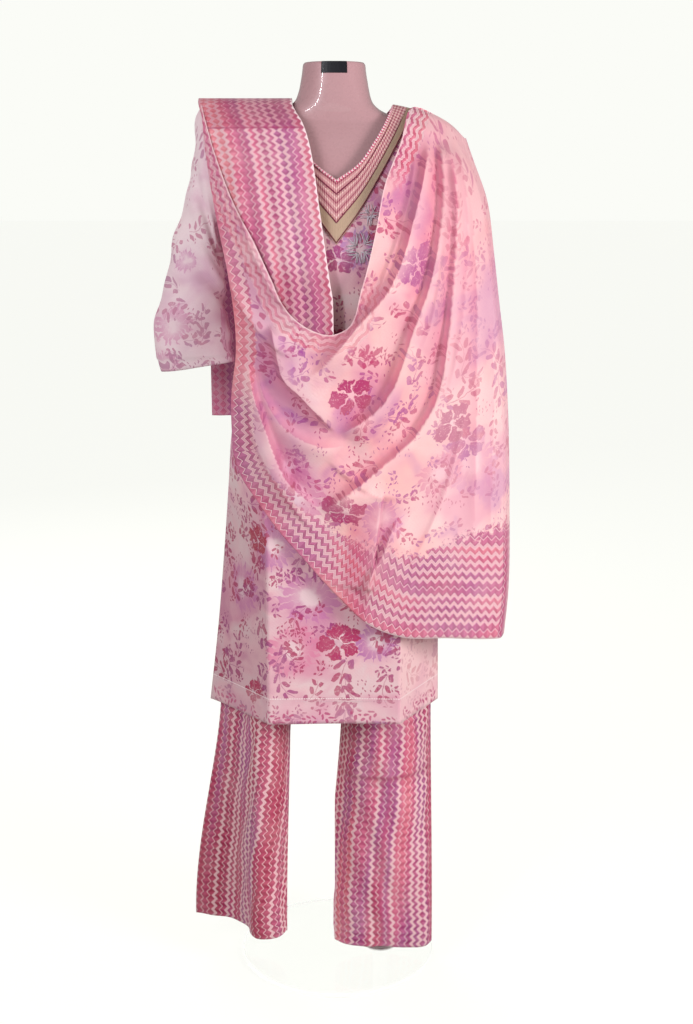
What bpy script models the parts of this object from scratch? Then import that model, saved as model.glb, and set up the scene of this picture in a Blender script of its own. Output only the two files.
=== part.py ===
# A kurta set on a limbless dress form: a printed kurta with a V neck and three quarter sleeves,
# straight trousers in a zigzag print, and a dupatta draped from the left end of the shoulders,
# across the chest in a cowl and down over the other shoulder.
# Metres, +Z up. The front looks along -Y. Left and right are the viewer's, seen from the front.
# The origin is the centre of the base plate's underside.
import math
from collections import namedtuple

import bmesh
import bpy
import numpy as np

# Walls and gaps
COTTON = 0.0015
VOILE = 0.0012
BAND = 0.0020
SEAM_GAP = 0.0003
HALF_GAP = SEAM_GAP / 2

# Heights of the main lines
NECK_TOP = 1.488
SHOULDER = 1.428
V_TIP = 1.313
BACK_NECK_TIP = 1.395
BORDER_TIP = 1.2185
ARMPIT = 1.250
WAIST = 0.990
SLIT_TOP = 0.820
CROTCH = 0.720
KURTA_HEM = 0.465
HIP_JOIN = 0.045
FORM_BOTTOM = 0.775
PLATE_TOP = 0.010

# Slope of the shoulders, from the neck point outwards. The right one slopes more.
NECK_POINT = 0.080
SHOULDER_REACH = 0.120
LEFT_SLOPE = 0.005
RIGHT_SLOPE = 0.034
SHOULDER_TILT = 0.035
RIGHT_ROUNDING = 0.020

ROUNDNESS = 0.86
FORM_SIDES = 28
WAISTBAND_HEIGHT = 0.034
SIDE_SLIT_OPENING = 0.012
BORDER_LIFT = 0.0008

Body = namedtuple("Body", "height left right front back")
Armhole = namedtuple("Armhole", "height left right")
Edge = namedtuple("Edge", "height x")
Level = namedtuple("Level", "height left right front")
Strip = namedtuple("Strip", "height left right back")
Point = namedtuple("Point", "x z")
Fold = namedtuple("Fold", "rise over under start end route")
Station = namedtuple("Station", "hip_turn crotch_x crotch_y knee_x knee_y hem_x hem_y")

# The kurta's outer face, from hem to shoulder: side seams, and how far front and back stand out.
KURTA = (
    Body(0.465, -0.213, 0.168, 0.132, 0.120),
    Body(0.600, -0.197, 0.167, 0.132, 0.118),
    Body(0.720, -0.186, 0.168, 0.132, 0.118),
    Body(0.820, -0.178, 0.170, 0.130, 0.116),
    Body(0.900, -0.172, 0.167, 0.126, 0.106),
    Body(1.000, -0.160, 0.155, 0.124, 0.092),
    Body(1.060, -0.156, 0.151, 0.128, 0.088),
    Body(1.120, -0.158, 0.152, 0.135, 0.090),
    Body(1.180, -0.162, 0.155, 0.138, 0.093),
    Body(1.250, -0.168, 0.162, 0.124, 0.095),
    Body(1.290, -0.185, 0.178, 0.110, 0.090),
    Body(1.330, -0.205, 0.195, 0.094, 0.082),
    Body(1.360, -0.215, 0.202, 0.081, 0.073),
    Body(1.390, -0.222, 0.206, 0.062, 0.058),
    Body(1.410, -0.224, 0.208, 0.042, 0.042),
    Body(1.420, -0.225, 0.209, 0.026, 0.026),
    Body(1.4255, -0.225, 0.209, 0.012, 0.012),
    Body(1.428, -0.225, 0.209, 0.0002, 0.0002),
)
ARMHOLES = (
    Armhole(1.250, -0.168, 0.162),
    Armhole(1.290, -0.164, 0.157),
    Armhole(1.330, -0.165, 0.158),
    Armhole(1.360, -0.170, 0.163),
    Armhole(1.390, -0.178, 0.170),
    Armhole(1.410, -0.186, 0.177),
    Armhole(1.428, -0.196, 0.185),
)
V_NECK = (
    Edge(1.313, 0.0),
    Edge(1.338, 0.034),
    Edge(1.372, 0.058),
    Edge(1.400, 0.074),
    Edge(1.428, 0.086),
)
BACK_NECK = (
    Edge(1.395, 0.0),
    Edge(1.398, 0.030),
    Edge(1.406, 0.060),
    Edge(1.418, 0.078),
    Edge(1.428, 0.086),
)
BORDER_OUTER = (
    Edge(1.2185, 0.003),
    Edge(1.270, 0.037),
    Edge(1.313, 0.062),
    Edge(1.360, 0.087),
    Edge(1.400, 0.106),
    Edge(1.428, 0.119),
)
# Pressed creases that turn the kurta's front into a flat panel with two side facets.
CREASE_CENTRE = -0.0045
CREASE_HALF = 0.1045
CREASE_SHARE = 0.4
CREASE_TOP = 0.900
CREASE_FULL = 0.740

# The dress form, from its flat underside to the neck
FORM_CENTRE = -0.004
Ring = namedtuple("Ring", "height half front back")
FORM = (
    Ring(0.775, 0.122, 0.074, 0.068),
    Ring(0.795, 0.138, 0.090, 0.083),
    Ring(0.825, 0.146, 0.100, 0.093),
    Ring(0.860, 0.148, 0.103, 0.096),
    Ring(0.910, 0.141, 0.098, 0.084),
    Ring(0.960, 0.127, 0.094, 0.070),
    Ring(1.005, 0.120, 0.094, 0.066),
    Ring(1.060, 0.124, 0.102, 0.067),
    Ring(1.115, 0.134, 0.121, 0.071),
    Ring(1.165, 0.143, 0.1355, 0.078),
    Ring(1.215, 0.146, 0.124, 0.083),
    Ring(1.265, 0.147, 0.107, 0.085),
    Ring(1.310, 0.150, 0.0920, 0.077),
    Ring(1.345, 0.152, 0.0760, 0.065),
    Ring(1.375, 0.147, 0.0590, 0.053),
    Ring(1.393, 0.131, 0.0470, 0.0455),
    Ring(1.404, 0.110, 0.0410, 0.0430),
    Ring(1.413, 0.088, 0.0410, 0.0425),
    Ring(1.422, 0.069, 0.0425, 0.0425),
    Ring(1.432, 0.0590, 0.0435, 0.0425),
    Ring(1.445, 0.0545, 0.0445, 0.043),
    Ring(1.460, 0.0515, 0.0455, 0.044),
    Ring(1.475, 0.0490, 0.0455, 0.0435),
    Ring(1.485, 0.0478, 0.0448, 0.043),
    Ring(1.488, 0.0455, 0.0425, 0.0405),
)
PLUG_TURNS = (251.0, 290.0)
PLUG_DEPTH = 0.012
PLUG_BOTTOM = 1.471
RECESS_WIDER = 1.2
RECESS_PROUD = 0.004

# Sleeves: the outer and the inner edge as seen from the front, from armhole to cuff.
LEFT_SLEEVE_OUTER = (
    Point(-0.1966, 1.4290),
    Point(-0.211, 1.421),
    Point(-0.2215, 1.398),
    Point(-0.221, 1.350),
    Point(-0.228, 1.320),
    Point(-0.243, 1.263),
    Point(-0.262, 1.201),
    Point(-0.275, 1.145),
    Point(-0.291, 1.088),
    Point(-0.294, 1.056),
    Point(-0.280, 1.014),
)
LEFT_SLEEVE_INNER = (
    Point(-0.1686, 1.250),
    Point(-0.181, 1.222),
    Point(-0.178, 1.150),
    Point(-0.172, 1.085),
    Point(-0.168, 1.031),
)
RIGHT_SLEEVE_OUTER = (
    Point(0.1856, 1.3840),
    Point(0.1925, 1.368),
    Point(0.1960, 1.335),
    Point(0.2090, 1.283),
    Point(0.2180, 1.207),
    Point(0.2280, 1.130),
    Point(0.2380, 1.052),
    Point(0.2400, 1.020),
)
RIGHT_SLEEVE_INNER = (
    Point(0.1626, 1.250),
    Point(0.1740, 1.222),
    Point(0.1720, 1.150),
    Point(0.1680, 1.085),
    Point(0.1640, 1.024),
)
Cuff = namedtuple("Cuff", "share depth")
SLEEVE_START = 0.15
SLEEVE_HEAD = 0.22
SLEEVE_CROWDING = 1.25
ARMHOLE_GAP = 0.0016
SLEEVE_DEPTHS = (Cuff(0.0, 0.056), Cuff(0.12, 0.047), Cuff(0.4, 0.042), Cuff(1.0, 0.032))

# The trousers above the crotch
HIPS = (
    Body(0.720, -0.159, 0.150, 0.100, 0.094),
    Body(0.765, -0.160, 0.151, 0.106, 0.099),
    Body(0.820, -0.159, 0.150, 0.109, 0.102),
    Body(0.860, -0.158, 0.149, 0.110, 0.103),
    Body(0.930, -0.146, 0.138, 0.104, 0.088),
    Body(0.990, -0.132, 0.124, 0.100, 0.074),
)
HIP_CENTRE = -0.005
# Legs: named places round each leg, at the crotch, at the kurta's hem and at the trouser hem.
# hip_turn is where the same place sits on the hips, from the side seam (0) to the centre seam (1).
LEFT_LEG_FRONT = (
    Station(0.00, -0.159, 0.000, -0.197, 0.003, -0.248, 0.006),
    Station(0.20, -0.148, -0.036, -0.182, -0.010, -0.220, -0.001),
    Station(0.40, -0.128, -0.064, -0.162, -0.028, -0.186, -0.012),
    Station(0.52, -0.112, -0.085, -0.148, -0.056, -0.156, -0.048),
    Station(0.64, -0.088, -0.093, -0.133, -0.083, -0.134, -0.088),
    Station(0.84, -0.045, -0.085, -0.100, -0.078, -0.105, -0.084),
    Station(1.00, -0.011, -0.004, -0.078, -0.034, -0.086, -0.056),
)
LEFT_LEG_BACK = (
    Station(0.00, -0.159, 0.000, -0.197, 0.003, -0.248, 0.006),
    Station(0.30, -0.140, 0.050, -0.178, 0.040, -0.222, 0.040),
    Station(0.62, -0.092, 0.086, -0.138, 0.056, -0.160, 0.052),
    Station(0.84, -0.040, 0.066, -0.092, 0.030, -0.104, 0.020),
    Station(1.00, -0.011, 0.004, -0.078, -0.034, -0.086, -0.056),
)
RIGHT_LEG_FRONT = (
    Station(0.00, 0.150, 0.000, 0.157, -0.003, 0.160, -0.066),
    Station(0.20, 0.140, -0.036, 0.142, -0.030, 0.149, -0.083),
    Station(0.40, 0.120, -0.064, 0.121, -0.058, 0.120, -0.088),
    Station(0.64, 0.084, -0.093, 0.082, -0.080, 0.070, -0.089),
    Station(0.84, 0.036, -0.085, 0.034, -0.070, 0.022, -0.083),
    Station(1.00, 0.001, -0.004, 0.007, -0.022, -0.020, -0.046),
)
RIGHT_LEG_BACK = (
    Station(0.00, 0.150, 0.000, 0.157, -0.003, 0.160, -0.066),
    Station(0.30, 0.132, 0.050, 0.138, 0.038, 0.147, 0.002),
    Station(0.62, 0.084, 0.086, 0.088, 0.058, 0.084, 0.036),
    Station(0.84, 0.032, 0.066, 0.034, 0.034, 0.018, 0.014),
    Station(1.00, 0.001, 0.004, 0.007, -0.022, -0.020, -0.046),
)
LEFT_HEM = 0.064
RIGHT_HEM = 0.050

# The dupatta's long stretch: how far it stands out in front at each height.
DRAPE = (
    Level(0.560, -0.225, 0.300, 0.156),
    Level(0.700, -0.225, 0.302, 0.156),
    Level(0.800, -0.225, 0.302, 0.156),
    Level(0.900, -0.225, 0.298, 0.156),
    Level(1.000, -0.220, 0.292, 0.160),
    Level(1.080, -0.215, 0.284, 0.166),
    Level(1.150, -0.215, 0.274, 0.169),
    Level(1.200, -0.220, 0.266, 0.165),
    Level(1.260, -0.226, 0.256, 0.151),
    Level(1.310, -0.230, 0.244, 0.132),
    Level(1.360, -0.236, 0.230, 0.104),
    Level(1.400, -0.238, 0.220, 0.075),
    Level(1.417, -0.239, 0.216, 0.049),
    Level(1.428, -0.239, 0.215, 0.026),
    Level(1.4332, -0.239, 0.215, 0.0004),
)
DRAPE_TOP = 1.4332
LEFT_LIFT = 0.005
COWL_EDGE = (
    Point(-0.207, 1.4275),
    Point(-0.181, 1.346),
    Point(-0.151, 1.274),
    Point(-0.123, 1.225),
    Point(-0.099, 1.175),
    Point(-0.071, 1.120),
    Point(-0.039, 1.096),
    Point(-0.009, 1.088),
    Point(0.013, 1.096),
    Point(0.038, 1.159),
    Point(0.057, 1.234),
    Point(0.072, 1.307),
    Point(0.095, 1.365),
)
RIGHT_RIDGE = (0.118, 0.155, 0.178, 0.197)
LEFT_EDGE = (
    Point(-0.207, 1.4275),
    Point(-0.197, 1.347),
    Point(-0.182, 1.263),
    Point(-0.163, 1.174),
    Point(-0.153, 1.064),
    Point(-0.162, 0.982),
    Point(-0.161, 0.904),
)
LOWER_EDGE = (
    Point(-0.161, 0.904),
    Point(-0.145, 0.860),
    Point(-0.125, 0.832),
    Point(-0.097, 0.793),
    Point(-0.046, 0.735),
    Point(0.005, 0.679),
    Point(0.050, 0.637),
    Point(0.094, 0.618),
    Point(0.178, 0.610),
    Point(0.262, 0.596),
)
RIGHT_EDGE = (
    Point(0.206, 1.340),
    Point(0.221, 1.283),
    Point(0.231, 1.207),
    Point(0.241, 1.130),
    Point(0.252, 1.052),
    Point(0.259, 0.973),
    Point(0.266, 0.813),
    Point(0.267, 0.650),
    Point(0.262, 0.596),
)
TURNED_EDGE = 0.045
TURNED_BULGE = 0.010
# Folds of the long stretch. Each runs from the gathered shoulder towards the left side. It is high on
# the side that lies over, to the right of its route, and falls quickly on the other side.
FOLDS = (
    Fold(0.013, 0.040, 0.010, 0.10, 0.20, (
        Point(0.140, 1.380), Point(0.133, 1.335), Point(0.112, 1.250), Point(0.092, 1.185),
        Point(0.074, 1.150), Point(0.036, 1.107), Point(0.004, 1.068), Point(-0.040, 1.026),
        Point(-0.062, 1.020))),
    Fold(0.012, 0.036, 0.009, 0.10, 0.20, (
        Point(-0.098, 1.105), Point(-0.090, 1.060), Point(-0.080, 1.022), Point(-0.054, 0.996),
        Point(-0.025, 0.966), Point(0.004, 0.936))),
    Fold(0.014, 0.034, 0.009, 0.06, 0.08, (
        Point(0.155, 1.375), Point(0.158, 1.300), Point(0.149, 1.215), Point(0.134, 1.150),
        Point(0.115, 1.098), Point(0.100, 1.050), Point(0.084, 1.008), Point(0.060, 0.975),
        Point(0.030, 0.953), Point(0.002, 0.934))),
    Fold(0.014, 0.048, 0.010, 0.08, 0.08, (
        Point(0.172, 1.365), Point(0.178, 1.280), Point(0.174, 1.190), Point(0.166, 1.080),
        Point(0.148, 0.985), Point(0.117, 0.934), Point(0.075, 0.895), Point(0.031, 0.858),
        Point(-0.008, 0.829), Point(-0.028, 0.816))),
    Fold(0.013, 0.030, 0.010, 0.25, 0.10, (
        Point(-0.026, 0.815), Point(-0.044, 0.834), Point(-0.080, 0.872), Point(-0.096, 0.908),
        Point(-0.112, 0.955), Point(-0.124, 0.990), Point(-0.134, 1.050))),
    Fold(0.008, 0.022, 0.016, 0.25, 0.30, (
        Point(0.030, 0.925), Point(-0.012, 0.917), Point(-0.055, 0.930), Point(-0.085, 0.952),
        Point(-0.108, 0.990), Point(-0.125, 1.060))),
    Fold(0.008, 0.030, 0.007, 0.30, 0.25, (
        Point(0.105, 0.820), Point(0.088, 0.795), Point(0.070, 0.750), Point(0.050, 0.712),
        Point(0.038, 0.665))),
    Fold(0.007, 0.028, 0.024, 0.25, 0.40, (
        Point(0.192, 1.330), Point(0.206, 1.200), Point(0.212, 1.050), Point(0.214, 0.860),
        Point(0.210, 0.690))),
)

# The dupatta's first end, laid over the left shoulder: front hang, ridge and back hang.
END_UNDER = 0.006
END_SETTLE = 0.002
END_TOP = DRAPE_TOP + LEFT_LIFT - END_SETTLE
END_FRONT = (
    Strip(1.078, -0.143, -0.004, 0.0),
    Strip(1.134, -0.147, -0.005, 0.0),
    Strip(1.169, -0.151, -0.010, 0.0),
    Strip(1.225, -0.163, -0.018, 0.0),
    Strip(1.280, -0.174, -0.026, 0.0),
    Strip(1.322, -0.182, -0.032, 0.0),
    Strip(1.346, -0.187, -0.036, 0.0),
    Strip(1.372, -0.194, -0.042, 0.0),
    Strip(1.397, -0.202, -0.051, 0.0),
    Strip(1.415, -0.208, -0.062, 0.0),
    Strip(1.428, -0.212, -0.068, 0.0),
    Strip(1.4362, -0.213, -0.069, 0.0),
)
END_BACK = (
    Strip(0.924, -0.213, -0.072, 0.118),
    Strip(1.000, -0.213, -0.072, 0.114),
    Strip(1.150, -0.213, -0.070, 0.108),
    Strip(1.250, -0.213, -0.068, 0.106),
    Strip(1.310, -0.213, -0.067, 0.098),
    Strip(1.360, -0.213, -0.067, 0.083),
    Strip(1.397, -0.213, -0.067, 0.061),
    Strip(1.415, -0.213, -0.067, 0.045),
    Strip(1.428, -0.213, -0.070, 0.026),
    Strip(1.4335, -0.213, -0.069, 0.012),
    Strip(1.4362, -0.213, -0.069, 0.0),
)
END_PLEATS = 5
END_PLEAT_DEPTH = 0.0022

# The dupatta's fall behind the right shoulder
FALL = (
    Strip(1.130, 0.062, 0.212, 0.118),
    Strip(1.200, 0.074, 0.211, 0.116),
    Strip(1.260, 0.086, 0.209, 0.112),
    Strip(1.310, 0.096, 0.207, 0.103),
    Strip(1.360, 0.106, 0.203, 0.086),
    Strip(1.400, 0.114, 0.199, 0.058),
    Strip(1.420, 0.117, 0.197, 0.037),
    Strip(1.429, 0.118, 0.196, 0.018),
    Strip(1.4332, 0.118, 0.195, 0.0010),
)
FALL_PLEATS = 4
FALL_PLEAT_DEPTH = 0.006
FALL_POINT = 0.030

# Stand: the pole runs down inside the right trouser leg.
POLE_X, POLE_Y = 0.074, 0.000
POLE_RADIUS = 0.0125
PLATE_RADIUS = 0.165
PLATE_BEVEL = 0.0015

COLOURS = {
    "kurta_print": (0.86, 0.66, 0.70),
    "zigzag_print": (0.77, 0.42, 0.56),
    "dupatta_print": (0.90, 0.62, 0.68),
    "neck_trim": (0.66, 0.50, 0.42),
    "form_gloss": (0.62, 0.40, 0.38),
    "black_plastic": (0.02, 0.02, 0.02),
    "steel": (0.62, 0.62, 0.64),
    "glass": (0.86, 0.93, 0.91),
}
ROUGHNESS = {"form_gloss": 0.15, "black_plastic": 0.3, "steel": 0.3, "glass": 0.05}


def smooth(value):
    """Rises from 0 to 1 with soft ends."""
    t = np.clip(value, 0.0, 1.0)
    return t * t * (3 - 2 * t)


def read(rows, column, at):
    """A column of a table at any places along it, on a smooth curve that doesn't overshoot."""
    x = np.array([row[0] for row in rows])
    y = np.array([getattr(row, column) for row in rows])
    step = np.diff(x)
    slope = np.diff(y) / step
    tangent = np.concatenate([slope[:1], np.zeros(len(slope) - 1), slope[-1:]])
    rising = np.flatnonzero(slope[:-1] * slope[1:] > 0)
    tangent[rising + 1] = 2 / (1 / slope[rising] + 1 / slope[rising + 1])
    at = np.clip(at, x[0], x[-1])
    i = np.clip(np.searchsorted(x, at) - 1, 0, len(step) - 1)
    t = (at - x[i]) / step[i]
    start, end = y[i], y[i + 1]
    bend = step[i] * t * (1 - t) * ((1 - t) * tangent[i] - t * tangent[i + 1])
    return start + (end - start) * t * t * (3 - 2 * t) + bend


def route(points, share):
    """Places at given shares of the length of a smooth curve through the points."""
    p = np.array(points, float)
    along = np.concatenate([[0], np.cumsum(np.linalg.norm(np.diff(p, axis=0), axis=1))])
    tangent = np.gradient(p, along, axis=0)
    fine = np.linspace(0, along[-1], 240)
    i = np.clip(np.searchsorted(along, fine) - 1, 0, len(along) - 2)
    step = (along[i + 1] - along[i])[:, None]
    t = (fine - along[i])[:, None] / step
    curve = (
        p[i] + (p[i + 1] - p[i]) * t * t * (3 - 2 * t)
        + step * t * (1 - t) * ((1 - t) * tangent[i] - t * tangent[i + 1])
    )
    reached = np.concatenate([[0], np.cumsum(np.linalg.norm(np.diff(curve, axis=0), axis=1))])
    at = np.asarray(share) * reached[-1]
    return np.stack([np.interp(at, reached, curve[:, k]) for k in range(p.shape[1])], axis=-1)


def shoulder_drop(x):
    """How far the shoulder line lies below the neck point, at a distance from the centre."""
    out = np.clip((np.abs(x) - NECK_POINT) / SHOULDER_REACH, 0, 1.2)
    right = RIGHT_SLOPE * out**1.5 + RIGHT_ROUNDING * out**6
    return np.where(x > 0, right, LEFT_SLOPE * out**1.5) + SHOULDER_TILT * x


def near_shoulder(height):
    """0 below the chest and 1 at the shoulder line."""
    return smooth((height - ARMPIT) / (1.400 - ARMPIT))


def bulge(share):
    """(sideways, outwards) on a rounded quarter of a body section, from its middle to its side."""
    turn = share * math.pi / 2
    return np.sin(turn) ** ROUNDNESS, np.clip(np.cos(turn), 0, 1) ** ROUNDNESS


def turn_at(sideways):
    """The share of a rounded quarter at which it has gone that far sideways."""
    return np.arcsin(np.clip(sideways, 0, 1) ** (1 / ROUNDNESS)) / (math.pi / 2)


def kurta_point(side, face, share, height):
    """A point of the kurta's outer face. side is -1 left or 1 right; face is -1 front or 1 back."""
    left, right = read(KURTA, "left", height), read(KURTA, "right", height)
    middle, half = (left + right) / 2, (right - left) / 2
    stands = read(KURTA, "front" if face < 0 else "back", height)
    sideways, outwards = bulge(share)
    x_round, y_round = middle + side * half * sideways, stands * outwards
    seam = middle + side * half
    crease = CREASE_CENTRE + side * CREASE_HALF
    flat = np.clip(share / CREASE_SHARE, 0, 1)
    facet = np.clip((share - CREASE_SHARE) / (1 - CREASE_SHARE), 0, 1)
    x_box = CREASE_CENTRE + (crease - CREASE_CENTRE) * flat + (seam - crease) * facet
    y_box = stands * (1 - facet)
    boxed = smooth((CREASE_TOP - height) / (CREASE_TOP - CREASE_FULL)) if face < 0 else 0.0
    opened = np.clip((SLIT_TOP - height) / (SLIT_TOP - KURTA_HEM), 0, 1) * SIDE_SLIT_OPENING
    x = x_round + (x_box - x_round) * boxed
    y = y_round + (y_box - y_round) * boxed + HALF_GAP + opened * share**3
    z = height - shoulder_drop(x) * near_shoulder(height)
    return np.stack([x, face * y, z], axis=-1)


def seam_share(side, height):
    """How far out a kurta panel reaches: to its side seam, or to the armhole."""
    left, right = read(KURTA, "left", height), read(KURTA, "right", height)
    edge = read(ARMHOLES, "left" if side < 0 else "right", np.maximum(height, ARMPIT))
    reach = turn_at(np.abs(edge - (left + right) / 2) / ((right - left) / 2))
    return np.where(height > ARMPIT, reach, 1.0)


def neck_share(side, height, edge_rows):
    """Where a kurta panel starts: at the middle, or above the neck's tip at the neckline."""
    left, right = read(KURTA, "left", height), read(KURTA, "right", height)
    middle, half = (left + right) / 2, (right - left) / 2
    edge = side * read(edge_rows, "x", height)
    start = turn_at(np.clip((edge - middle) * side, 0, None) / half)
    return np.where(height > edge_rows[0].height, start, 0.0)


def kurta_half(side, face, edge_rows, heights, columns):
    """One half of the front or back panel, as rows of points from the middle out, and its normals."""
    t = np.linspace(0, 1, columns)[None, :]
    h = np.array(heights)[:, None] + 0 * t
    start = neck_share(side, h, edge_rows)
    end = seam_share(side, h)
    points = kurta_point(side, face, start + (end - start) * t, h)
    normals = normals_of(points, (0, face, 0))
    normals[:, 0, 0] = 0
    seam = np.array(heights) <= ARMPIT
    normals[seam, -1, 1] = 0
    normals[-1, :, 1] = 0
    return points, unit(normals)


def unit(vectors):
    """The same directions at length 1."""
    return vectors / np.maximum(np.linalg.norm(vectors, axis=-1, keepdims=True), 1e-12)


def normals_of(points, outward, closed=False):
    """Unit normals of a grid of points, on the side that the outward direction is on.
    A closed grid has its first column again as its last."""
    grid = np.concatenate([points[:, -2:-1], points, points[:, 1:2]], axis=1) if closed else points
    normal = np.cross(np.gradient(grid, axis=1), np.gradient(grid, axis=0))
    if closed:
        normal = normal[:, 1:-1]
    facing = np.sign((normal * np.asarray(outward)).sum())
    return unit(normal * facing)


def around(points):
    """Directions away from the upright axis through the middle of a tube's points."""
    away = points - points.mean(axis=1, keepdims=True)
    away[..., 2] = 0
    return away


def material(name):
    made = bpy.data.materials.get(name)
    if made is None:
        made = bpy.data.materials.new(name)
        made.use_nodes = True
        shader = made.node_tree.nodes["Principled BSDF"]
        shader.inputs["Base Color"].default_value = (*COLOURS[name], 1)
        shader.inputs["Roughness"].default_value = ROUGHNESS.get(name, 0.85)
        shader.inputs["Metallic"].default_value = 1.0 if name == "steel" else 0.0
        shader.inputs["Transmission Weight"].default_value = 1.0 if name == "glass" else 0.0
    return made


def add_object(name, mesh, colour):
    mesh.materials.append(material(colour))
    made = bpy.data.objects.new(name, mesh)
    bpy.context.scene.collection.objects.link(made)
    return made


def cloth(name, panels, colour, wall):
    """A piece of cloth from grids of points on its outer face, each with its normals.
    The wall grows inwards along the normals, and grids are joined where their points meet."""
    place, outer, inner, faces = {}, [], [], []
    for points, normals in panels:
        rows, columns = points.shape[:2]
        index = np.zeros((rows, columns), int)
        for r in range(rows):
            for c in range(columns):
                key = tuple(np.round(points[r, c], 6))
                if key not in place:
                    place[key] = len(outer)
                    outer.append(points[r, c])
                    inner.append(points[r, c] - normals[r, c] * wall)
                index[r, c] = place[key]
        quads = [(index[r, c], index[r, c + 1], index[r + 1, c + 1], index[r + 1, c])
                 for r in range(rows - 1) for c in range(columns - 1)]
        turning = np.cross(np.diff(points, axis=1)[:-1], np.diff(points, axis=0)[:, :-1])
        if (turning * normals[:-1, :-1]).sum() < 0:
            quads = [quad[::-1] for quad in quads]
        # Both sides of the wall are split along the same diagonal, so that they never cross.
        for a, b, c, d in quads:
            first = np.linalg.norm(outer[a] - outer[c]) <= np.linalg.norm(outer[b] - outer[d])
            faces += [(a, b, c), (a, c, d)] if first else [(a, b, d), (b, c, d)]
    edges = {(face[k], face[(k + 1) % 3]) for face in faces for k in range(3)}
    size = len(outer)
    rim = [(b, a, a + size, b + size) for a, b in edges if (b, a) not in edges]
    backs = [tuple(k + size for k in face[::-1]) for face in faces]
    mesh = bpy.data.meshes.new(name)
    mesh.from_pydata(outer + inner, [], faces + backs + rim)
    mesh.shade_smooth()
    return add_object(name, mesh, colour)


def form_ring(height, count, out=0.0):
    """One level ring of the dress form, grown outwards by a distance."""
    half = read(FORM, "half", height) + out
    front, back = read(FORM, "front", height) + out, read(FORM, "back", height) + out
    turn = np.arange(count) * 2 * math.pi / count
    cosine, sine = np.cos(turn), np.sin(turn)
    x = FORM_CENTRE + half * np.sign(cosine) * np.abs(cosine) ** ROUNDNESS
    y = np.where(sine < 0, front, back) * np.sign(sine) * np.abs(sine) ** ROUNDNESS
    tilt = SHOULDER_TILT * x * near_shoulder(height) * smooth((1.455 - height) / 0.02)
    return np.stack([x, y, height - tilt], axis=-1)


def closed_stack(name, rings):
    """A solid from rings of points stacked upwards, with flat ends."""
    bm = bmesh.new()
    loops = [[bm.verts.new(point) for point in ring] for ring in rings]
    count = len(loops[0])
    for low, high in zip(loops, loops[1:]):
        for k in range(count):
            n = (k + 1) % count
            bm.faces.new((low[k], low[n], high[n], high[k]))
    bm.faces.new(list(reversed(loops[0])))
    bm.faces.new(loops[-1])
    bmesh.ops.recalc_face_normals(bm, faces=bm.faces)
    mesh = bpy.data.meshes.new(name)
    bm.to_mesh(mesh)
    bm.free()
    return mesh


def add_form():
    heights = [FORM_BOTTOM, 0.795, 0.825, 0.865, 0.915, 0.955, WAIST, WAIST + WAISTBAND_HEIGHT, 1.070, 1.115,
               1.165, 1.215, 1.265, 1.310, 1.345, 1.375, 1.394, 1.405, 1.413, 1.422, 1.434, 1.455,
               1.485, NECK_TOP]
    rings = [form_ring(h + np.zeros(FORM_SIDES), FORM_SIDES) for h in heights]
    torso = add_object("dress_form", closed_stack("dress_form", rings), "form_gloss")
    torso.data.shade_smooth()
    recess = plug_block("plug_recess", PLUG_DEPTH + 3 * SEAM_GAP, PLUG_BOTTOM - SEAM_GAP,
                        NECK_TOP + RECESS_PROUD, RECESS_WIDER, RECESS_PROUD)
    recess.hide_render = True
    recess.display_type = "WIRE"
    cut = torso.modifiers.new("Recess", "BOOLEAN")
    cut.operation = "DIFFERENCE"
    cut.solver = "EXACT"
    cut.object = recess
    plug_block("neck_plug", PLUG_DEPTH, PLUG_BOTTOM, NECK_TOP, 0.0, 0.0)


def plug_block(name, depth, bottom, top, wider, proud):
    """The neck's dark socket plug, or the slightly larger block that cuts its recess."""
    turns = np.radians(np.linspace(PLUG_TURNS[0] - wider, PLUG_TURNS[1] + wider, 9))
    rings = []
    for height in (bottom, top):
        level = min(max(height, PLUG_BOTTOM), 1.484)
        half, front = float(read(FORM, "half", level)), float(read(FORM, "front", level))
        cosine, sine = np.cos(turns), np.sin(turns)
        x = half * np.sign(cosine) * np.abs(cosine) ** ROUNDNESS
        y = front * np.sign(sine) * np.abs(sine) ** ROUNDNESS
        size = np.hypot(x, y)
        edges = []
        for grown in ((size + proud) / size, (size - depth) / size):
            edges.append(np.stack([FORM_CENTRE + x * grown, y * grown, height + 0 * x], axis=-1))
        rings.append(np.concatenate([edges[0], edges[1][::-1]]))
    return add_object(name, closed_stack(name, rings), "black_plastic")


def add_stand():
    """A clear base plate, and a pole with a turned foot that stands on it."""
    plate = bmesh.new()
    bmesh.ops.create_cone(plate, cap_ends=True, segments=48, radius1=PLATE_RADIUS,
                          radius2=PLATE_RADIUS, depth=PLATE_TOP)
    bmesh.ops.translate(plate, verts=plate.verts, vec=(0, 0, PLATE_TOP / 2))
    rims = [edge for edge in plate.edges if abs(edge.verts[0].co.z - edge.verts[1].co.z) < 1e-6]
    bmesh.ops.bevel(plate, geom=rims, offset=PLATE_BEVEL, segments=1, affect="EDGES")
    mesh = bpy.data.meshes.new("base_plate")
    plate.to_mesh(mesh)
    plate.free()
    add_object("base_plate", mesh, "glass")

    foot = PLATE_TOP + SEAM_GAP
    profile = [(0.030, foot), (0.030, foot + 0.002), (0.018, foot + 0.006), (0.0145, foot + 0.020),
               (POLE_RADIUS, foot + 0.026), (POLE_RADIUS, FORM_BOTTOM - SEAM_GAP)]
    turn = np.arange(20) * 2 * math.pi / 20
    rings = [np.stack([POLE_X + r * np.cos(turn), POLE_Y + r * np.sin(turn), z + 0 * turn], axis=-1)
             for r, z in profile]
    pole = add_object("pole", closed_stack("pole", rings), "steel")
    pole.data.shade_smooth()
    pole.data.set_sharp_from_angle(angle=math.radians(40))


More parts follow.
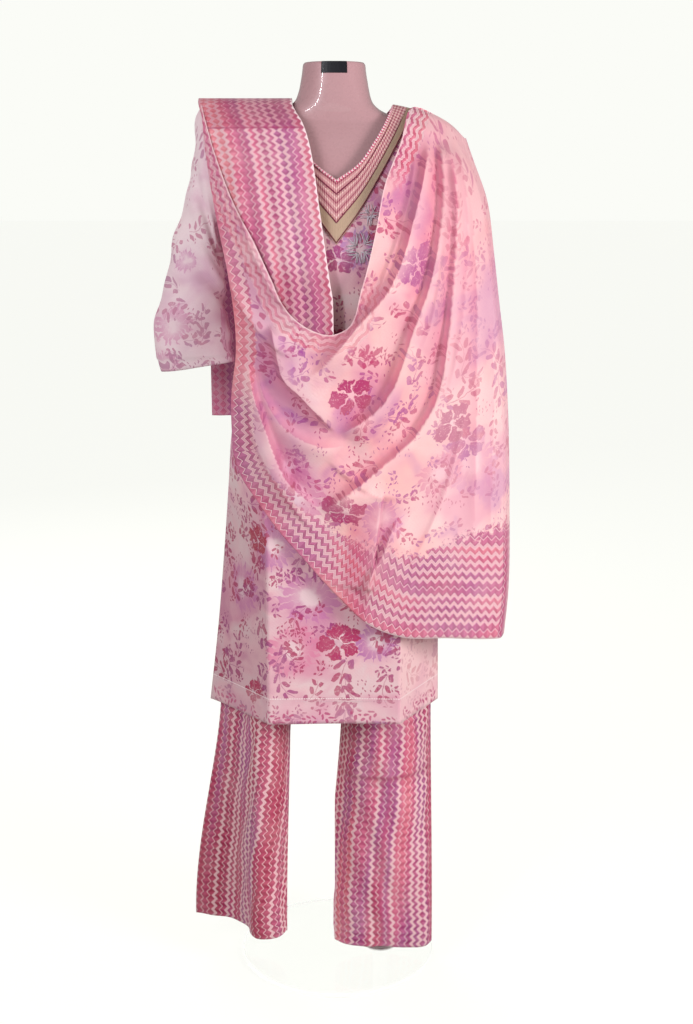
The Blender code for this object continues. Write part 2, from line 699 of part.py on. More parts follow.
def add_kurta():
    skirt = [KURTA_HEM, 0.540, 0.620, 0.700, 0.760, SLIT_TOP, 0.870, 0.930, 0.990, 1.050, 1.110, 1.165,
             BORDER_TIP, ARMPIT]
    front = skirt + [1.285, V_TIP, 1.340, 1.370, 1.395, 1.412, 1.4235, SHOULDER]
    back = skirt + [1.300, 1.345, 1.375, BACK_NECK_TIP, 1.405, 1.415, 1.4235, SHOULDER]
    cloth("kurta_front", [kurta_half(side, -1, V_NECK, front, 9) for side in (-1, 1)], "kurta_print", COTTON)
    cloth("kurta_back", [kurta_half(side, 1, BACK_NECK, back, 8) for side in (-1, 1)], "kurta_print", COTTON)


def border_half(side, heights, columns):
    """The front panel's own surface under one arm of the sewn neck border, and its normals."""
    t = np.linspace(0, 1, columns)[None, :]
    h = np.array(heights)[:, None] + 0 * t
    left, right = read(KURTA, "left", h), read(KURTA, "right", h)
    middle, half = (left + right) / 2, (right - left) / 2
    start = neck_share(side, h, V_NECK)
    edge = side * read(BORDER_OUTER, "x", h)
    end = turn_at(np.clip((edge - middle) * side, 0, None) / half)
    points = kurta_point(side, -1, start + (end - start) * t, h)
    normals = normals_of(points, (0, -1, 0))
    normals[:, 0, 0] = 0
    normals[-1, :, 1] = 0
    return points, unit(normals)


def add_neck_border():
    heights = [BORDER_TIP, 1.240, 1.265, 1.290, V_TIP, 1.340, 1.370, 1.395, 1.412, 1.4235,
               SHOULDER - SEAM_GAP]
    arms = [border_half(side, heights, 4) for side in (-1, 1)]
    joined = np.array(heights) <= V_TIP
    shared = unit(arms[0][1][joined, 0] + arms[1][1][joined, 0])
    for points, normals in arms:
        normals[joined, 0] = shared
        points += normals * (SEAM_GAP + BORDER_LIFT + COTTON)
    cloth("neck_border", arms, "neck_trim", COTTON)


def armhole_loop(side, count):
    """The armhole's edge as a closed loop: from the armpit up the front, and down the back."""
    heights = ARMPIT + (SHOULDER - ARMPIT) * np.linspace(0, 1, 40)
    front = kurta_point(side, -1, seam_share(side, heights), heights)
    back = kurta_point(side, 1, seam_share(side, heights), heights)
    loop = np.concatenate([front, back[::-1]])
    along = np.concatenate([[0], np.cumsum(np.linalg.norm(np.diff(loop, axis=0), axis=1))])
    at = np.linspace(0, along[-1], count)
    return np.stack([np.interp(at, along, loop[:, k]) for k in range(3)], axis=-1)


def sleeve_grid(side, outer, inner, fall, rows, count):
    """Rings of a sleeve from the armhole to the cuff, each with its first point again at its end.
    fall is how steeply the sleeve's head drops away from the shoulder."""
    share = np.linspace(0, 1, rows) ** SLEEVE_CROWDING
    out, inn = route(outer, share), route(inner, share)
    turn = np.linspace(0, 2 * math.pi, count)
    loop = armhole_loop(side, count)
    rings = []
    for k in range(rows):
        centre, reach = (out[k] + inn[k]) / 2, (out[k] - inn[k]) / 2
        depth = float(read(SLEEVE_DEPTHS, "depth", share[k]))
        x = centre[0] - reach[0] * np.cos(turn)
        z = centre[1] - reach[1] * np.cos(turn)
        ring = np.stack([x, -depth * np.sin(turn), z], axis=-1)
        start = loop + np.array([side * (ARMHOLE_GAP + share[k] * SLEEVE_START), 0, -share[k] * fall])
        rings.append(ring + (start - ring) * (1 - smooth(share[k] / SLEEVE_HEAD)))
    rings = np.array(rings)
    rings[:, -1] = rings[:, 0]
    return rings


def add_sleeves():
    for name, side, outer, inner, fall in (
        ("sleeve_left", -1, LEFT_SLEEVE_OUTER, LEFT_SLEEVE_INNER, 0.06),
        ("sleeve_right", 1, RIGHT_SLEEVE_OUTER, RIGHT_SLEEVE_INNER, 0.16),
    ):
        rings = sleeve_grid(side, outer, inner, fall, 12, 19)
        normals = normals_of(rings, around(rings), closed=True)
        cloth(name, [(rings, normals)], "kurta_print", COTTON)


def leg_rows(stations, hem, side, face, heights, columns):
    """Rows of points of a trouser panel, from its side seam to its centre seam and inseam."""
    share = np.linspace(0, 1, columns)
    high = np.array([(s.crotch_x, s.crotch_y) for s in stations])
    knee = np.array([(s.knee_x, s.knee_y) for s in stations])
    low = np.array([(s.hem_x, s.hem_y) for s in stations])
    turn = np.array([s.hip_turn for s in stations])
    rows = []
    for h in heights:
        leg = knee + (low - knee) * smooth((KURTA_HEM - h) / (KURTA_HEM - hem)) ** 0.8
        if h > KURTA_HEM:
            leg = knee + (high - knee) * smooth((h - KURTA_HEM) / (CROTCH - KURTA_HEM))
        seam = float(read(HIPS, "left" if side < 0 else "right", h))
        stands = float(read(HIPS, "front" if face < 0 else "back", h))
        sideways, outwards = bulge(1 - turn)
        hip = np.stack([HIP_CENTRE + (seam - HIP_CENTRE) * sideways, face * stands * outwards], axis=-1)
        row = route(leg + (hip - leg) * float(smooth((h - CROTCH) / HIP_JOIN)), share)
        inner = HIP_CENTRE + side * HALF_GAP
        row[:, 0] = np.where((row[:, 0] - inner) * side < 0, inner, row[:, 0])
        rows.append(np.stack([row[:, 0], row[:, 1], h + 0 * share], axis=-1))
    return np.array(rows)


def add_leg(side, word, hem, front_stations, back_stations):
    """The front and back panel of one leg. At their seams they share normals and keep a gap."""
    leg = list(np.linspace(hem, KURTA_HEM, 6)) + [0.540, 0.620, 0.690, CROTCH]
    hips = [0.735, 0.750, CROTCH + HIP_JOIN, 0.815, 0.870, 0.930, WAIST - SEAM_GAP]
    heights = np.array(leg + hips)
    front = leg_rows(front_stations, hem, side, -1, heights, 11)
    back = leg_rows(back_stations, hem, side, 1, heights, 11)
    front_normals = normals_of(front, (0, -1, 0))
    back_normals = normals_of(back, (0, 1, 0))
    legs = heights < CROTCH
    for normals in (front_normals, back_normals):
        normals[~legs, -1, 0] = 0
    outseam = front_normals[:, 0] + back_normals[:, 0]
    inseam = front_normals[legs, -1] + back_normals[legs, -1]
    for points, normals, word_end in ((front, front_normals, "front"), (back, back_normals, "back")):
        normals[:, 0] = outseam
        normals[legs, -1] = inseam
        normals[:] = unit(normals)
        points[:, 0] += unit(points[:, 1] - points[:, 0]) * HALF_GAP * 2
        points[legs, -1] += unit(points[legs, -2] - points[legs, -1]) * HALF_GAP * 2
        cloth(f"trouser_{word}_{word_end}", [(points, normals)], "zigzag_print", COTTON)


def add_trousers():
    add_leg(-1, "left", LEFT_HEM, LEFT_LEG_FRONT, LEFT_LEG_BACK)
    add_leg(1, "right", RIGHT_HEM, RIGHT_LEG_FRONT, RIGHT_LEG_BACK)


def add_waistband():
    """An elastic band that holds the trousers on the form's waist."""
    sides = np.zeros(FORM_SIDES)
    rings = np.array([form_ring(h + sides, FORM_SIDES, SEAM_GAP + BAND)
                      for h in (WAIST, WAIST + WAISTBAND_HEIGHT)])
    rings = np.concatenate([rings, rings[:, :1]], axis=1)
    cloth("waistband", [(rings, normals_of(rings, around(rings), closed=True))], "zigzag_print", BAND)


def fold_height(x, z, fold):
    """How far one fold stands out at places seen from the front."""
    line = route(fold.route, np.linspace(0, 1, 90))
    way = np.gradient(line, axis=0)
    way /= np.linalg.norm(way, axis=1)[:, None]
    dx = x[..., None] - line[:, 0]
    dz = z[..., None] - line[:, 1]
    nearest = np.argmin(dx * dx + dz * dz, axis=-1)
    dx = np.take_along_axis(dx, nearest[..., None], -1)[..., 0]
    dz = np.take_along_axis(dz, nearest[..., None], -1)[..., 0]
    away = np.hypot(dx, dz)
    over = way[nearest, 0] * dz - way[nearest, 1] * dx > 0
    width = np.where(over, fold.over, fold.under)
    share = nearest / (len(line) - 1)
    held = smooth(share / fold.start) * smooth((1 - share) / fold.end)
    return fold.rise * held * np.exp(-((away / width) ** 2))


def drape_drop(x):
    """How far the long stretch's ridge lies below its top: it follows the right shoulder down."""
    return shoulder_drop(np.clip(x, 0, None)) - LEFT_LIFT * smooth(-x / 0.06)


def drape_depth(x, z):
    """How far the long stretch stands out in front, without its folds."""
    height = z + drape_drop(x) * near_shoulder(z)
    left, right = read(DRAPE, "left", height), read(DRAPE, "right", height)
    middle, half = (left + right) / 2, (right - left) / 2
    sideways = np.clip(np.abs(x - middle) / half, 0, 0.995)
    return read(DRAPE, "front", height) * (1 - sideways**2.3) ** (1 / 2.3)


def drape_grid(columns, rows):
    """The long stretch: a patch between its four edges as seen from the front, given its depth."""
    s, t = np.linspace(0, 1, columns), np.linspace(0, 1, rows) ** 1.5
    ridge = tuple(Point(x, DRAPE_TOP - float(drape_drop(np.float64(x)))) for x in RIGHT_RIDGE)
    top, low = route(COWL_EDGE + ridge, s), route(LOWER_EDGE, s)
    left, right = route(LEFT_EDGE, t), route(ridge[-1:] + RIGHT_EDGE, t)
    u, v = s[None, :, None], t[:, None, None]
    across = left[:, None] * (1 - u) + right[:, None] * u
    down = top[None] * (1 - v) + low[None] * v
    corners = (top[0] * (1 - u) * (1 - v) + top[-1] * u * (1 - v)
               + low[0] * (1 - u) * v + low[-1] * u * v)
    flat = across + down - corners
    x, z = flat[..., 0], flat[..., 1]
    stands = drape_depth(x, z)
    held = smooth((DRAPE_TOP - z - drape_drop(x)) / 0.05)
    for fold in FOLDS:
        stands = stands + fold_height(x, z, fold) * held
    return np.stack([x, -stands, z], axis=-1)


def turned_back(grid, columns):
    """Columns that carry the long stretch's outer edge round to the back."""
    edge = grid[:, -1]
    high = smooth((edge[:, 2] - 1.28) / 0.10)[:, None]
    extra = []
    for k in range(1, columns + 1):
        q = k / columns
        reach = TURNED_EDGE * q * (1 - 0.55 * high)
        bulged = TURNED_BULGE * math.sin(q * math.pi / 2) * (1 - 0.6 * high)
        extra.append(edge + np.concatenate([bulged, reach, 0 * reach], axis=1))
    return np.concatenate([grid, np.stack(extra, axis=1)], axis=1)


def end_grid(table, face, heights, columns):
    """The first end's front or back hang, from its lower edge up to the ridge."""
    t = np.linspace(0, 1, columns)[None, :]
    h = np.array(heights)[:, None] + 0 * t
    left, right = read(table, "left", h), read(table, "right", h)
    x = right + (left - right) * t
    low = smooth((END_TOP - h) / 0.03)
    pleats = END_PLEAT_DEPTH * (1 + np.cos(t * END_PLEATS * 2 * math.pi)) / 2 * low
    if face < 0:
        stands = np.clip(drape_depth(x, h + END_SETTLE) - END_UNDER * low + pleats, 0, None)
    else:
        stands = read(table, "back", h) + pleats
    stands[h >= END_TOP] = 0
    return np.stack([x, face * stands, h], axis=-1)


def fall_grid(heights, columns):
    """The fall behind the right shoulder, from its pointed lower edge up to the ridge."""
    t = np.linspace(0, 1, columns)[None, :]
    h = np.array(heights)[:, None] + 0 * t
    left, right = read(FALL, "left", h), read(FALL, "right", h)
    x = left + (right - left) * t
    pleats = FALL_PLEAT_DEPTH * (1 - np.cos(t * FALL_PLEATS * 2 * math.pi)) / 2
    y = read(FALL, "back", h) + pleats * smooth((DRAPE_TOP - h) / 0.10)
    z = h - drape_drop(x) * near_shoulder(h) - FALL_POINT * (1 - t) * smooth((1.300 - h) / 0.17)
    return np.stack([x, y, z], axis=-1)


def add_dupatta():
    patch = turned_back(drape_grid(28, 34), 2)
    cloth("dupatta_front", [(patch, normals_of(patch, (0, -1, 0)))], "dupatta_print", VOILE)

    front = [1.078, 1.130, 1.180, 1.230, 1.280, 1.325, 1.365, 1.397, 1.417, 1.429, END_TOP]
    back = [0.924, 1.000, 1.075, 1.150, 1.225, 1.290, 1.340, 1.380, 1.408, 1.425, 1.4335]
    hang = end_grid(END_FRONT, -1, front, 11)
    behind = end_grid(END_BACK, 1, back, 11)
    whole = np.concatenate([hang, behind[::-1]])
    outward = np.stack([0 * whole[..., 0], whole[..., 1], 0.05 + 0 * whole[..., 0]], axis=-1)
    cloth("dupatta_left_end", [(whole, normals_of(whole, outward))], "dupatta_print", VOILE)

    heights = [1.130, 1.175, 1.220, 1.265, 1.310, 1.350, 1.382, 1.407, 1.422, DRAPE_TOP]
    fall = fall_grid(heights, 13)
    cloth("dupatta_right_back", [(fall, normals_of(fall, (0, 1, 0)))], "dupatta_print", VOILE)


def main():
    for old in list(bpy.data.objects):
        bpy.data.objects.remove(old)
    add_form()
    add_stand()
    add_kurta()
    add_neck_border()
    add_sleeves()
    add_trousers()
    add_waistband()
    add_dupatta()


main()
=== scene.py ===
import math
from collections import namedtuple

import bpy
import numpy as np
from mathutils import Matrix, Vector


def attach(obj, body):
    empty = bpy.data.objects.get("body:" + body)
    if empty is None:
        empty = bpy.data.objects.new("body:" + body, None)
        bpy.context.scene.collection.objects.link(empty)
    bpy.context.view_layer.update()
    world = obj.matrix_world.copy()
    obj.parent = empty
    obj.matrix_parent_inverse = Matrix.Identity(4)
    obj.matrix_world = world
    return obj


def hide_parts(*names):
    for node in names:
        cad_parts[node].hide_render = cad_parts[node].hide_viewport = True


# A printed kurta, zigzag trousers and a draped dupatta on a limbless dress form.
# Metres, +Z up, front along -Y. Left and right are the viewer's, seen from the front.
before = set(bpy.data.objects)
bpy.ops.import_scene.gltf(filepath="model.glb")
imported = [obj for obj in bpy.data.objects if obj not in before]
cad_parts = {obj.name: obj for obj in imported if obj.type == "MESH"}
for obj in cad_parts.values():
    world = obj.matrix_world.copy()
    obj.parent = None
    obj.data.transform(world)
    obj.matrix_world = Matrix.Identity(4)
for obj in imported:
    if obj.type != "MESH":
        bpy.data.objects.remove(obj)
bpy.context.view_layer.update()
print("frame loaded")

# Walls and gaps
cottonWall = 0.0015
seamGap = 0.0003
halfGap = seamGap / 2

# Heights of the main lines
neckTop = 1.488
shoulderHeight = 1.428
vTip = 1.313
backNeckTip = 1.395
armpitHeight = 1.250
waistHeight = 0.990
slitTop = 0.820
crotchHeight = 0.720
kurtaHem = 0.465
hipJoin = 0.045
formBottom = 0.775

# Slope of the shoulders, from the neck point outwards. The right one slopes more.
neckPoint = 0.080
shoulderReach = 0.120
leftSlope = 0.005
rightSlope = 0.034
shoulderTilt = 0.035
rightRounding = 0.020

bodyRoundness = 0.86
sideSlitOpening = 0.012
borderLift = 0.0008

Body = namedtuple("Body", "height left right front back")
Armhole = namedtuple("Armhole", "height left right")
Edge = namedtuple("Edge", "height x")
Level = namedtuple("Level", "height left right front")
Strip = namedtuple("Strip", "height left right back")
Fold = namedtuple("Fold", "rise over under start end route")
Station = namedtuple("Station", "hipTurn crotchX crotchY kneeX kneeY hemX hemY")

def table(kind, rows):
    return tuple(kind(*row) for row in rows)


# The kurta's outer face, from hem to shoulder: side seams, and how far front and back stand out.
kurtaBodies = table(Body, (
    (0.465, -0.213, 0.168, 0.132, 0.12), (0.6, -0.197, 0.167, 0.132, 0.118),
    (0.72, -0.186, 0.168, 0.132, 0.118), (0.82, -0.178, 0.17, 0.13, 0.116),
    (0.9, -0.172, 0.167, 0.126, 0.106), (1.0, -0.16, 0.155, 0.124, 0.092),
    (1.06, -0.156, 0.151, 0.128, 0.088), (1.12, -0.158, 0.152, 0.135, 0.09),
    (1.18, -0.162, 0.155, 0.138, 0.093), (1.25, -0.168, 0.162, 0.124, 0.095),
    (1.29, -0.185, 0.178, 0.11, 0.09), (1.33, -0.205, 0.195, 0.094, 0.082),
    (1.36, -0.215, 0.202, 0.081, 0.073), (1.39, -0.222, 0.206, 0.062, 0.058),
    (1.41, -0.224, 0.208, 0.042, 0.042), (1.42, -0.225, 0.209, 0.026, 0.026),
    (1.4255, -0.225, 0.209, 0.012, 0.012), (1.428, -0.225, 0.209, 0.0002, 0.0002),
))
armholes = table(Armhole, (
    (1.25, -0.168, 0.162), (1.29, -0.164, 0.157), (1.33, -0.165, 0.158), (1.36, -0.17, 0.163),
    (1.39, -0.178, 0.17), (1.41, -0.186, 0.177), (1.428, -0.196, 0.185),
))
vNeck = table(Edge, (
    (1.313, 0.0), (1.338, 0.034), (1.372, 0.058), (1.4, 0.074), (1.428, 0.086),
))
backNeck = table(Edge, (
    (1.395, 0.0), (1.398, 0.03), (1.406, 0.06), (1.418, 0.078), (1.428, 0.086),
))
borderOuter = table(Edge, (
    (1.2185, 0.003), (1.27, 0.037), (1.313, 0.062), (1.36, 0.087), (1.4, 0.106), (1.428, 0.119),
))
# Pressed creases that turn the kurta's front into a flat panel with two side facets.
creaseCentre = -0.0045
creaseHalf = 0.1045
creaseShare = 0.4
creaseTop = 0.900
creaseFull = 0.740

# The dress form, from its flat underside to the neck
formCentre = -0.004
Ring = namedtuple("Ring", "height half front back")
formRings = table(Ring, (
    (0.775, 0.122, 0.074, 0.068), (0.795, 0.138, 0.09, 0.083), (0.825, 0.146, 0.1, 0.093),
    (0.86, 0.148, 0.103, 0.096), (0.91, 0.141, 0.098, 0.084), (0.96, 0.127, 0.094, 0.07),
    (1.005, 0.12, 0.094, 0.066), (1.06, 0.124, 0.102, 0.067), (1.115, 0.134, 0.121, 0.071),
    (1.165, 0.143, 0.1355, 0.078), (1.215, 0.146, 0.124, 0.083), (1.265, 0.147, 0.107, 0.085),
    (1.31, 0.15, 0.092, 0.077), (1.345, 0.152, 0.076, 0.065), (1.375, 0.147, 0.059, 0.053),
    (1.393, 0.131, 0.047, 0.0455), (1.404, 0.11, 0.041, 0.043), (1.413, 0.088, 0.041, 0.0425),
    (1.422, 0.069, 0.0425, 0.0425), (1.432, 0.059, 0.0435, 0.0425), (1.445, 0.0545, 0.0445, 0.043),
    (1.46, 0.0515, 0.0455, 0.044), (1.475, 0.049, 0.0455, 0.0435), (1.485, 0.0478, 0.0448, 0.043),
    (1.488, 0.0455, 0.0425, 0.0405),
))
plugTurns = (251.0, 290.0)
plugDepth = 0.012
plugBottom = 1.471
recessWider = 1.2
recessProud = 0.004

# Sleeves: the outer and the inner edge as seen from the front, from armhole to cuff.
leftSleeveOuter = (
    (-0.1966, 1.429), (-0.211, 1.421), (-0.2215, 1.398), (-0.221, 1.35), (-0.228, 1.32), (-0.243, 1.263),
    (-0.262, 1.201), (-0.275, 1.145), (-0.291, 1.088), (-0.294, 1.056), (-0.28, 1.014),
)
leftSleeveInner = (
    (-0.1686, 1.25), (-0.181, 1.222), (-0.178, 1.15), (-0.172, 1.085), (-0.168, 1.031),
)
rightSleeveOuter = (
    (0.1856, 1.384), (0.1925, 1.368), (0.196, 1.335), (0.209, 1.283), (0.218, 1.207), (0.228, 1.13),
    (0.238, 1.052), (0.24, 1.02),
)
rightSleeveInner = (
    (0.1626, 1.25), (0.174, 1.222), (0.172, 1.15), (0.168, 1.085), (0.164, 1.024),
)
Cuff = namedtuple("Cuff", "share depth")
sleeveStart = 0.15
sleeveHead = 0.22
sleeveCrowding = 1.25
armholeGap = 0.0016
sleeveDepths = table(Cuff, (
    (0.0, 0.056), (0.12, 0.047), (0.4, 0.042), (1.0, 0.032),
))

# The trousers above the crotch
hipBodies = table(Body, (
    (0.72, -0.159, 0.15, 0.1, 0.094), (0.765, -0.16, 0.151, 0.106, 0.099),
    (0.82, -0.159, 0.15, 0.109, 0.102), (0.86, -0.158, 0.149, 0.11, 0.103),
    (0.93, -0.146, 0.138, 0.104, 0.088), (0.99, -0.132, 0.124, 0.1, 0.074),
))
hipCentre = -0.005
# Legs: named places round each leg, at the crotch, at the kurta's hem and at the trouser hem.
# hipTurn is where the same place sits on the hips, from the side seam (0) to the centre seam (1).
leftLegFront = table(Station, (
    (0.0, -0.159, 0.0, -0.197, 0.003, -0.248, 0.006), (0.2, -0.148, -0.036, -0.182, -0.01, -0.22, -0.001),
    (0.4, -0.128, -0.064, -0.162, -0.028, -0.186, -0.012),
    (0.52, -0.112, -0.085, -0.148, -0.056, -0.156, -0.048),
    (0.64, -0.088, -0.093, -0.133, -0.083, -0.134, -0.088),
    (0.84, -0.045, -0.085, -0.1, -0.078, -0.105, -0.084),
    (1.0, -0.011, -0.004, -0.078, -0.034, -0.086, -0.056),
))
leftLegBack = table(Station, (
    (0.0, -0.159, 0.0, -0.197, 0.003, -0.248, 0.006), (0.3, -0.14, 0.05, -0.178, 0.04, -0.222, 0.04),
    (0.62, -0.092, 0.086, -0.138, 0.056, -0.16, 0.052), (0.84, -0.04, 0.066, -0.092, 0.03, -0.104, 0.02),
    (1.0, -0.011, 0.004, -0.078, -0.034, -0.086, -0.056),
))
rightLegFront = table(Station, (
    (0.0, 0.15, 0.0, 0.157, -0.003, 0.16, -0.066), (0.2, 0.14, -0.036, 0.142, -0.03, 0.149, -0.083),
    (0.4, 0.12, -0.064, 0.121, -0.058, 0.12, -0.088), (0.64, 0.084, -0.093, 0.082, -0.08, 0.07, -0.089),
    (0.84, 0.036, -0.085, 0.034, -0.07, 0.022, -0.083), (1.0, 0.001, -0.004, 0.007, -0.022, -0.02, -0.046),
))
rightLegBack = table(Station, (
    (0.0, 0.15, 0.0, 0.157, -0.003, 0.16, -0.066), (0.3, 0.132, 0.05, 0.138, 0.038, 0.147, 0.002),
    (0.62, 0.084, 0.086, 0.088, 0.058, 0.084, 0.036), (0.84, 0.032, 0.066, 0.034, 0.034, 0.018, 0.014),
    (1.0, 0.001, 0.004, 0.007, -0.022, -0.02, -0.046),
))
leftHem = 0.064
rightHem = 0.050

# The dupatta's long stretch: how far it stands out in front at each height.
drapeLevels = table(Level, (
    (0.56, -0.225, 0.3, 0.156), (0.7, -0.225, 0.302, 0.156), (0.8, -0.225, 0.302, 0.156),
    (0.9, -0.225, 0.298, 0.156), (1.0, -0.22, 0.292, 0.16), (1.08, -0.215, 0.284, 0.166),
    (1.15, -0.215, 0.274, 0.169), (1.2, -0.22, 0.266, 0.165), (1.26, -0.226, 0.256, 0.151),
    (1.31, -0.23, 0.244, 0.132), (1.36, -0.236, 0.23, 0.104), (1.4, -0.238, 0.22, 0.075),
    (1.417, -0.239, 0.216, 0.049), (1.428, -0.239, 0.215, 0.026), (1.4332, -0.239, 0.215, 0.0004),
))
drapeTop = 1.4332
leftLift = 0.005
cowlEdge = (
    (-0.207, 1.4275), (-0.181, 1.346), (-0.151, 1.274), (-0.123, 1.225), (-0.099, 1.175), (-0.071, 1.12),
    (-0.039, 1.096), (-0.009, 1.088), (0.013, 1.096), (0.038, 1.159), (0.057, 1.234), (0.072, 1.307),
    (0.095, 1.365),
)
rightRidge = (0.118, 0.155, 0.178, 0.197)
leftEdge = (
    (-0.207, 1.4275), (-0.197, 1.347), (-0.182, 1.263), (-0.163, 1.174), (-0.153, 1.064), (-0.162, 0.982),
    (-0.161, 0.904),
)
lowerEdge = (
    (-0.161, 0.904), (-0.145, 0.86), (-0.125, 0.832), (-0.097, 0.793), (-0.046, 0.735), (0.005, 0.679),
    (0.05, 0.637), (0.094, 0.618), (0.178, 0.61), (0.262, 0.596),
)
rightEdge = (
    (0.206, 1.34), (0.221, 1.283), (0.231, 1.207), (0.241, 1.13), (0.252, 1.052), (0.259, 0.973),
    (0.266, 0.813), (0.267, 0.65), (0.262, 0.596),
)
turnedEdge = 0.045
turnedBulge = 0.010
# Folds of the long stretch. Each runs from the gathered shoulder towards the left side. It is high on
# the side that lies over, to the right of its route, and falls quickly on the other side.
drapeFolds = table(Fold, (
    (0.013, 0.04, 0.01, 0.1, 0.2, ((0.14, 1.38), (0.133, 1.335), (0.112, 1.25), (0.092, 1.185),
    (0.074, 1.15), (0.036, 1.107), (0.004, 1.068), (-0.04, 1.026), (-0.062, 1.02))),
    (0.012, 0.036, 0.009, 0.1, 0.2, ((-0.098, 1.105), (-0.09, 1.06), (-0.08, 1.022), (-0.054, 0.996),
    (-0.025, 0.966), (0.004, 0.936))), (0.014, 0.034, 0.009, 0.06, 0.08, ((0.155, 1.375), (0.158, 1.3),
    (0.149, 1.215), (0.134, 1.15), (0.115, 1.098), (0.1, 1.05), (0.084, 1.008), (0.06, 0.975),
    (0.03, 0.953), (0.002, 0.934))), (0.014, 0.048, 0.01, 0.08, 0.08, ((0.172, 1.365), (0.178, 1.28),
    (0.174, 1.19), (0.166, 1.08), (0.148, 0.985), (0.117, 0.934), (0.075, 0.895), (0.031, 0.858),
    (-0.008, 0.829), (-0.028, 0.816))), (0.013, 0.03, 0.01, 0.25, 0.1, ((-0.026, 0.815), (-0.044, 0.834),
    (-0.08, 0.872), (-0.096, 0.908), (-0.112, 0.955), (-0.124, 0.99), (-0.134, 1.05))),
    (0.008, 0.022, 0.016, 0.25, 0.3, ((0.03, 0.925), (-0.012, 0.917), (-0.055, 0.93), (-0.085, 0.952),
    (-0.108, 0.99), (-0.125, 1.06))), (0.008, 0.03, 0.007, 0.3, 0.25, ((0.105, 0.82), (0.088, 0.795),
    (0.07, 0.75), (0.05, 0.712), (0.038, 0.665))), (0.007, 0.028, 0.024, 0.25, 0.4, ((0.192, 1.33),
    (0.206, 1.2), (0.212, 1.05), (0.214, 0.86), (0.21, 0.69))),
))

# Lesser folds and creases between the large ones
# how crisp and high the folds are, and how wide the painted shade in their valleys and the painted highlight
# on their crests spread
foldFit = {"crisp": 0.50, "rise": 1.2, "valleyShade": 0.022, "crestHighlight": 0.012}
smallFolds = table(Fold, (
    (0.005, 0.014, 0.008, 0.15, 0.3, ((-0.176, 1.23), (-0.16, 1.16), (-0.128, 1.105), (-0.085, 1.066),
    (-0.045, 1.05))), (0.0045, 0.014, 0.008, 0.2, 0.25, ((-0.15, 1.3), (-0.136, 1.24), (-0.11, 1.18),
    (-0.082, 1.135), (-0.04, 1.116))), (0.0045, 0.016, 0.008, 0.15, 0.3, ((0.12, 1.36), (0.108, 1.29),
    (0.088, 1.22), (0.066, 1.16), (0.05, 1.11))), (0.005, 0.016, 0.008, 0.1, 0.3, ((0.165, 1.38),
    (0.17, 1.31), (0.163, 1.23), (0.15, 1.15), (0.128, 1.07), (0.1, 1.02))),
    (0.005, 0.018, 0.009, 0.1, 0.3, ((0.184, 1.37), (0.193, 1.29), (0.194, 1.2), (0.187, 1.11),
    (0.172, 1.02), (0.146, 0.95))), (0.004, 0.018, 0.01, 0.25, 0.3, ((0.12, 0.96), (0.085, 0.93),
    (0.04, 0.895), (0.0, 0.868))), (0.004, 0.016, 0.009, 0.25, 0.3, ((0.2, 1.02), (0.186, 0.92),
    (0.16, 0.83), (0.13, 0.76), (0.105, 0.7))), (0.0035, 0.016, 0.01, 0.25, 0.3, ((0.236, 1.15),
    (0.24, 1.02), (0.241, 0.88), (0.238, 0.72))), (0.004, 0.014, 0.008, 0.25, 0.3, ((-0.14, 1.0),
    (-0.126, 0.93), (-0.098, 0.87), (-0.06, 0.815), (-0.02, 0.77))),
    (0.006, 0.05, 0.004, 0.06, 0.06, ((0.052, 0.69), (0.057, 0.74), (0.064, 0.8), (0.07, 0.85))),
    (0.003, 0.012, 0.007, 0.25, 0.3, ((-0.02, 0.905), (0.02, 0.87), (0.06, 0.846), (0.11, 0.838))),
))

# The dupatta's first end, laid over the left shoulder: front hang, ridge and back hang.
endUnder = 0.006
endSettle = 0.002
endTop = drapeTop + leftLift - endSettle
endFront = table(Strip, (
    (1.078, -0.143, -0.004, 0.0), (1.134, -0.147, -0.005, 0.0), (1.169, -0.151, -0.01, 0.0),
    (1.225, -0.163, -0.018, 0.0), (1.28, -0.174, -0.026, 0.0), (1.322, -0.182, -0.032, 0.0),
    (1.346, -0.187, -0.036, 0.0), (1.372, -0.194, -0.042, 0.0), (1.397, -0.202, -0.051, 0.0),
    (1.415, -0.208, -0.062, 0.0), (1.428, -0.212, -0.068, 0.0), (1.4362, -0.213, -0.069, 0.0),
))
endBack = table(Strip, (
    (0.924, -0.213, -0.072, 0.118), (1.0, -0.213, -0.072, 0.114), (1.15, -0.213, -0.07, 0.108),
    (1.25, -0.213, -0.068, 0.106), (1.31, -0.213, -0.067, 0.098), (1.36, -0.213, -0.067, 0.083),
    (1.397, -0.213, -0.067, 0.061), (1.415, -0.213, -0.067, 0.045), (1.428, -0.213, -0.07, 0.026),
    (1.4335, -0.213, -0.069, 0.012), (1.4362, -0.213, -0.069, 0.0),
))
endPleats = 5
endPleatDepth = 0.0022

# The dupatta's fall behind the right shoulder
fallStrips = table(Strip, (
    (1.13, 0.062, 0.212, 0.118), (1.2, 0.074, 0.211, 0.116), (1.26, 0.086, 0.209, 0.112),
    (1.31, 0.096, 0.207, 0.103), (1.36, 0.106, 0.203, 0.086), (1.4, 0.114, 0.199, 0.058),
    (1.42, 0.117, 0.197, 0.037), (1.429, 0.118, 0.196, 0.018), (1.4332, 0.118, 0.195, 0.001),
))
fallPleats = 4
fallPleatDepth = 0.006
fallPoint = 0.030


def smooth(value):
    # Rises from 0 to 1 with soft ends.
    t = np.clip(value, 0.0, 1.0)
    return t * t * (3 - 2 * t)


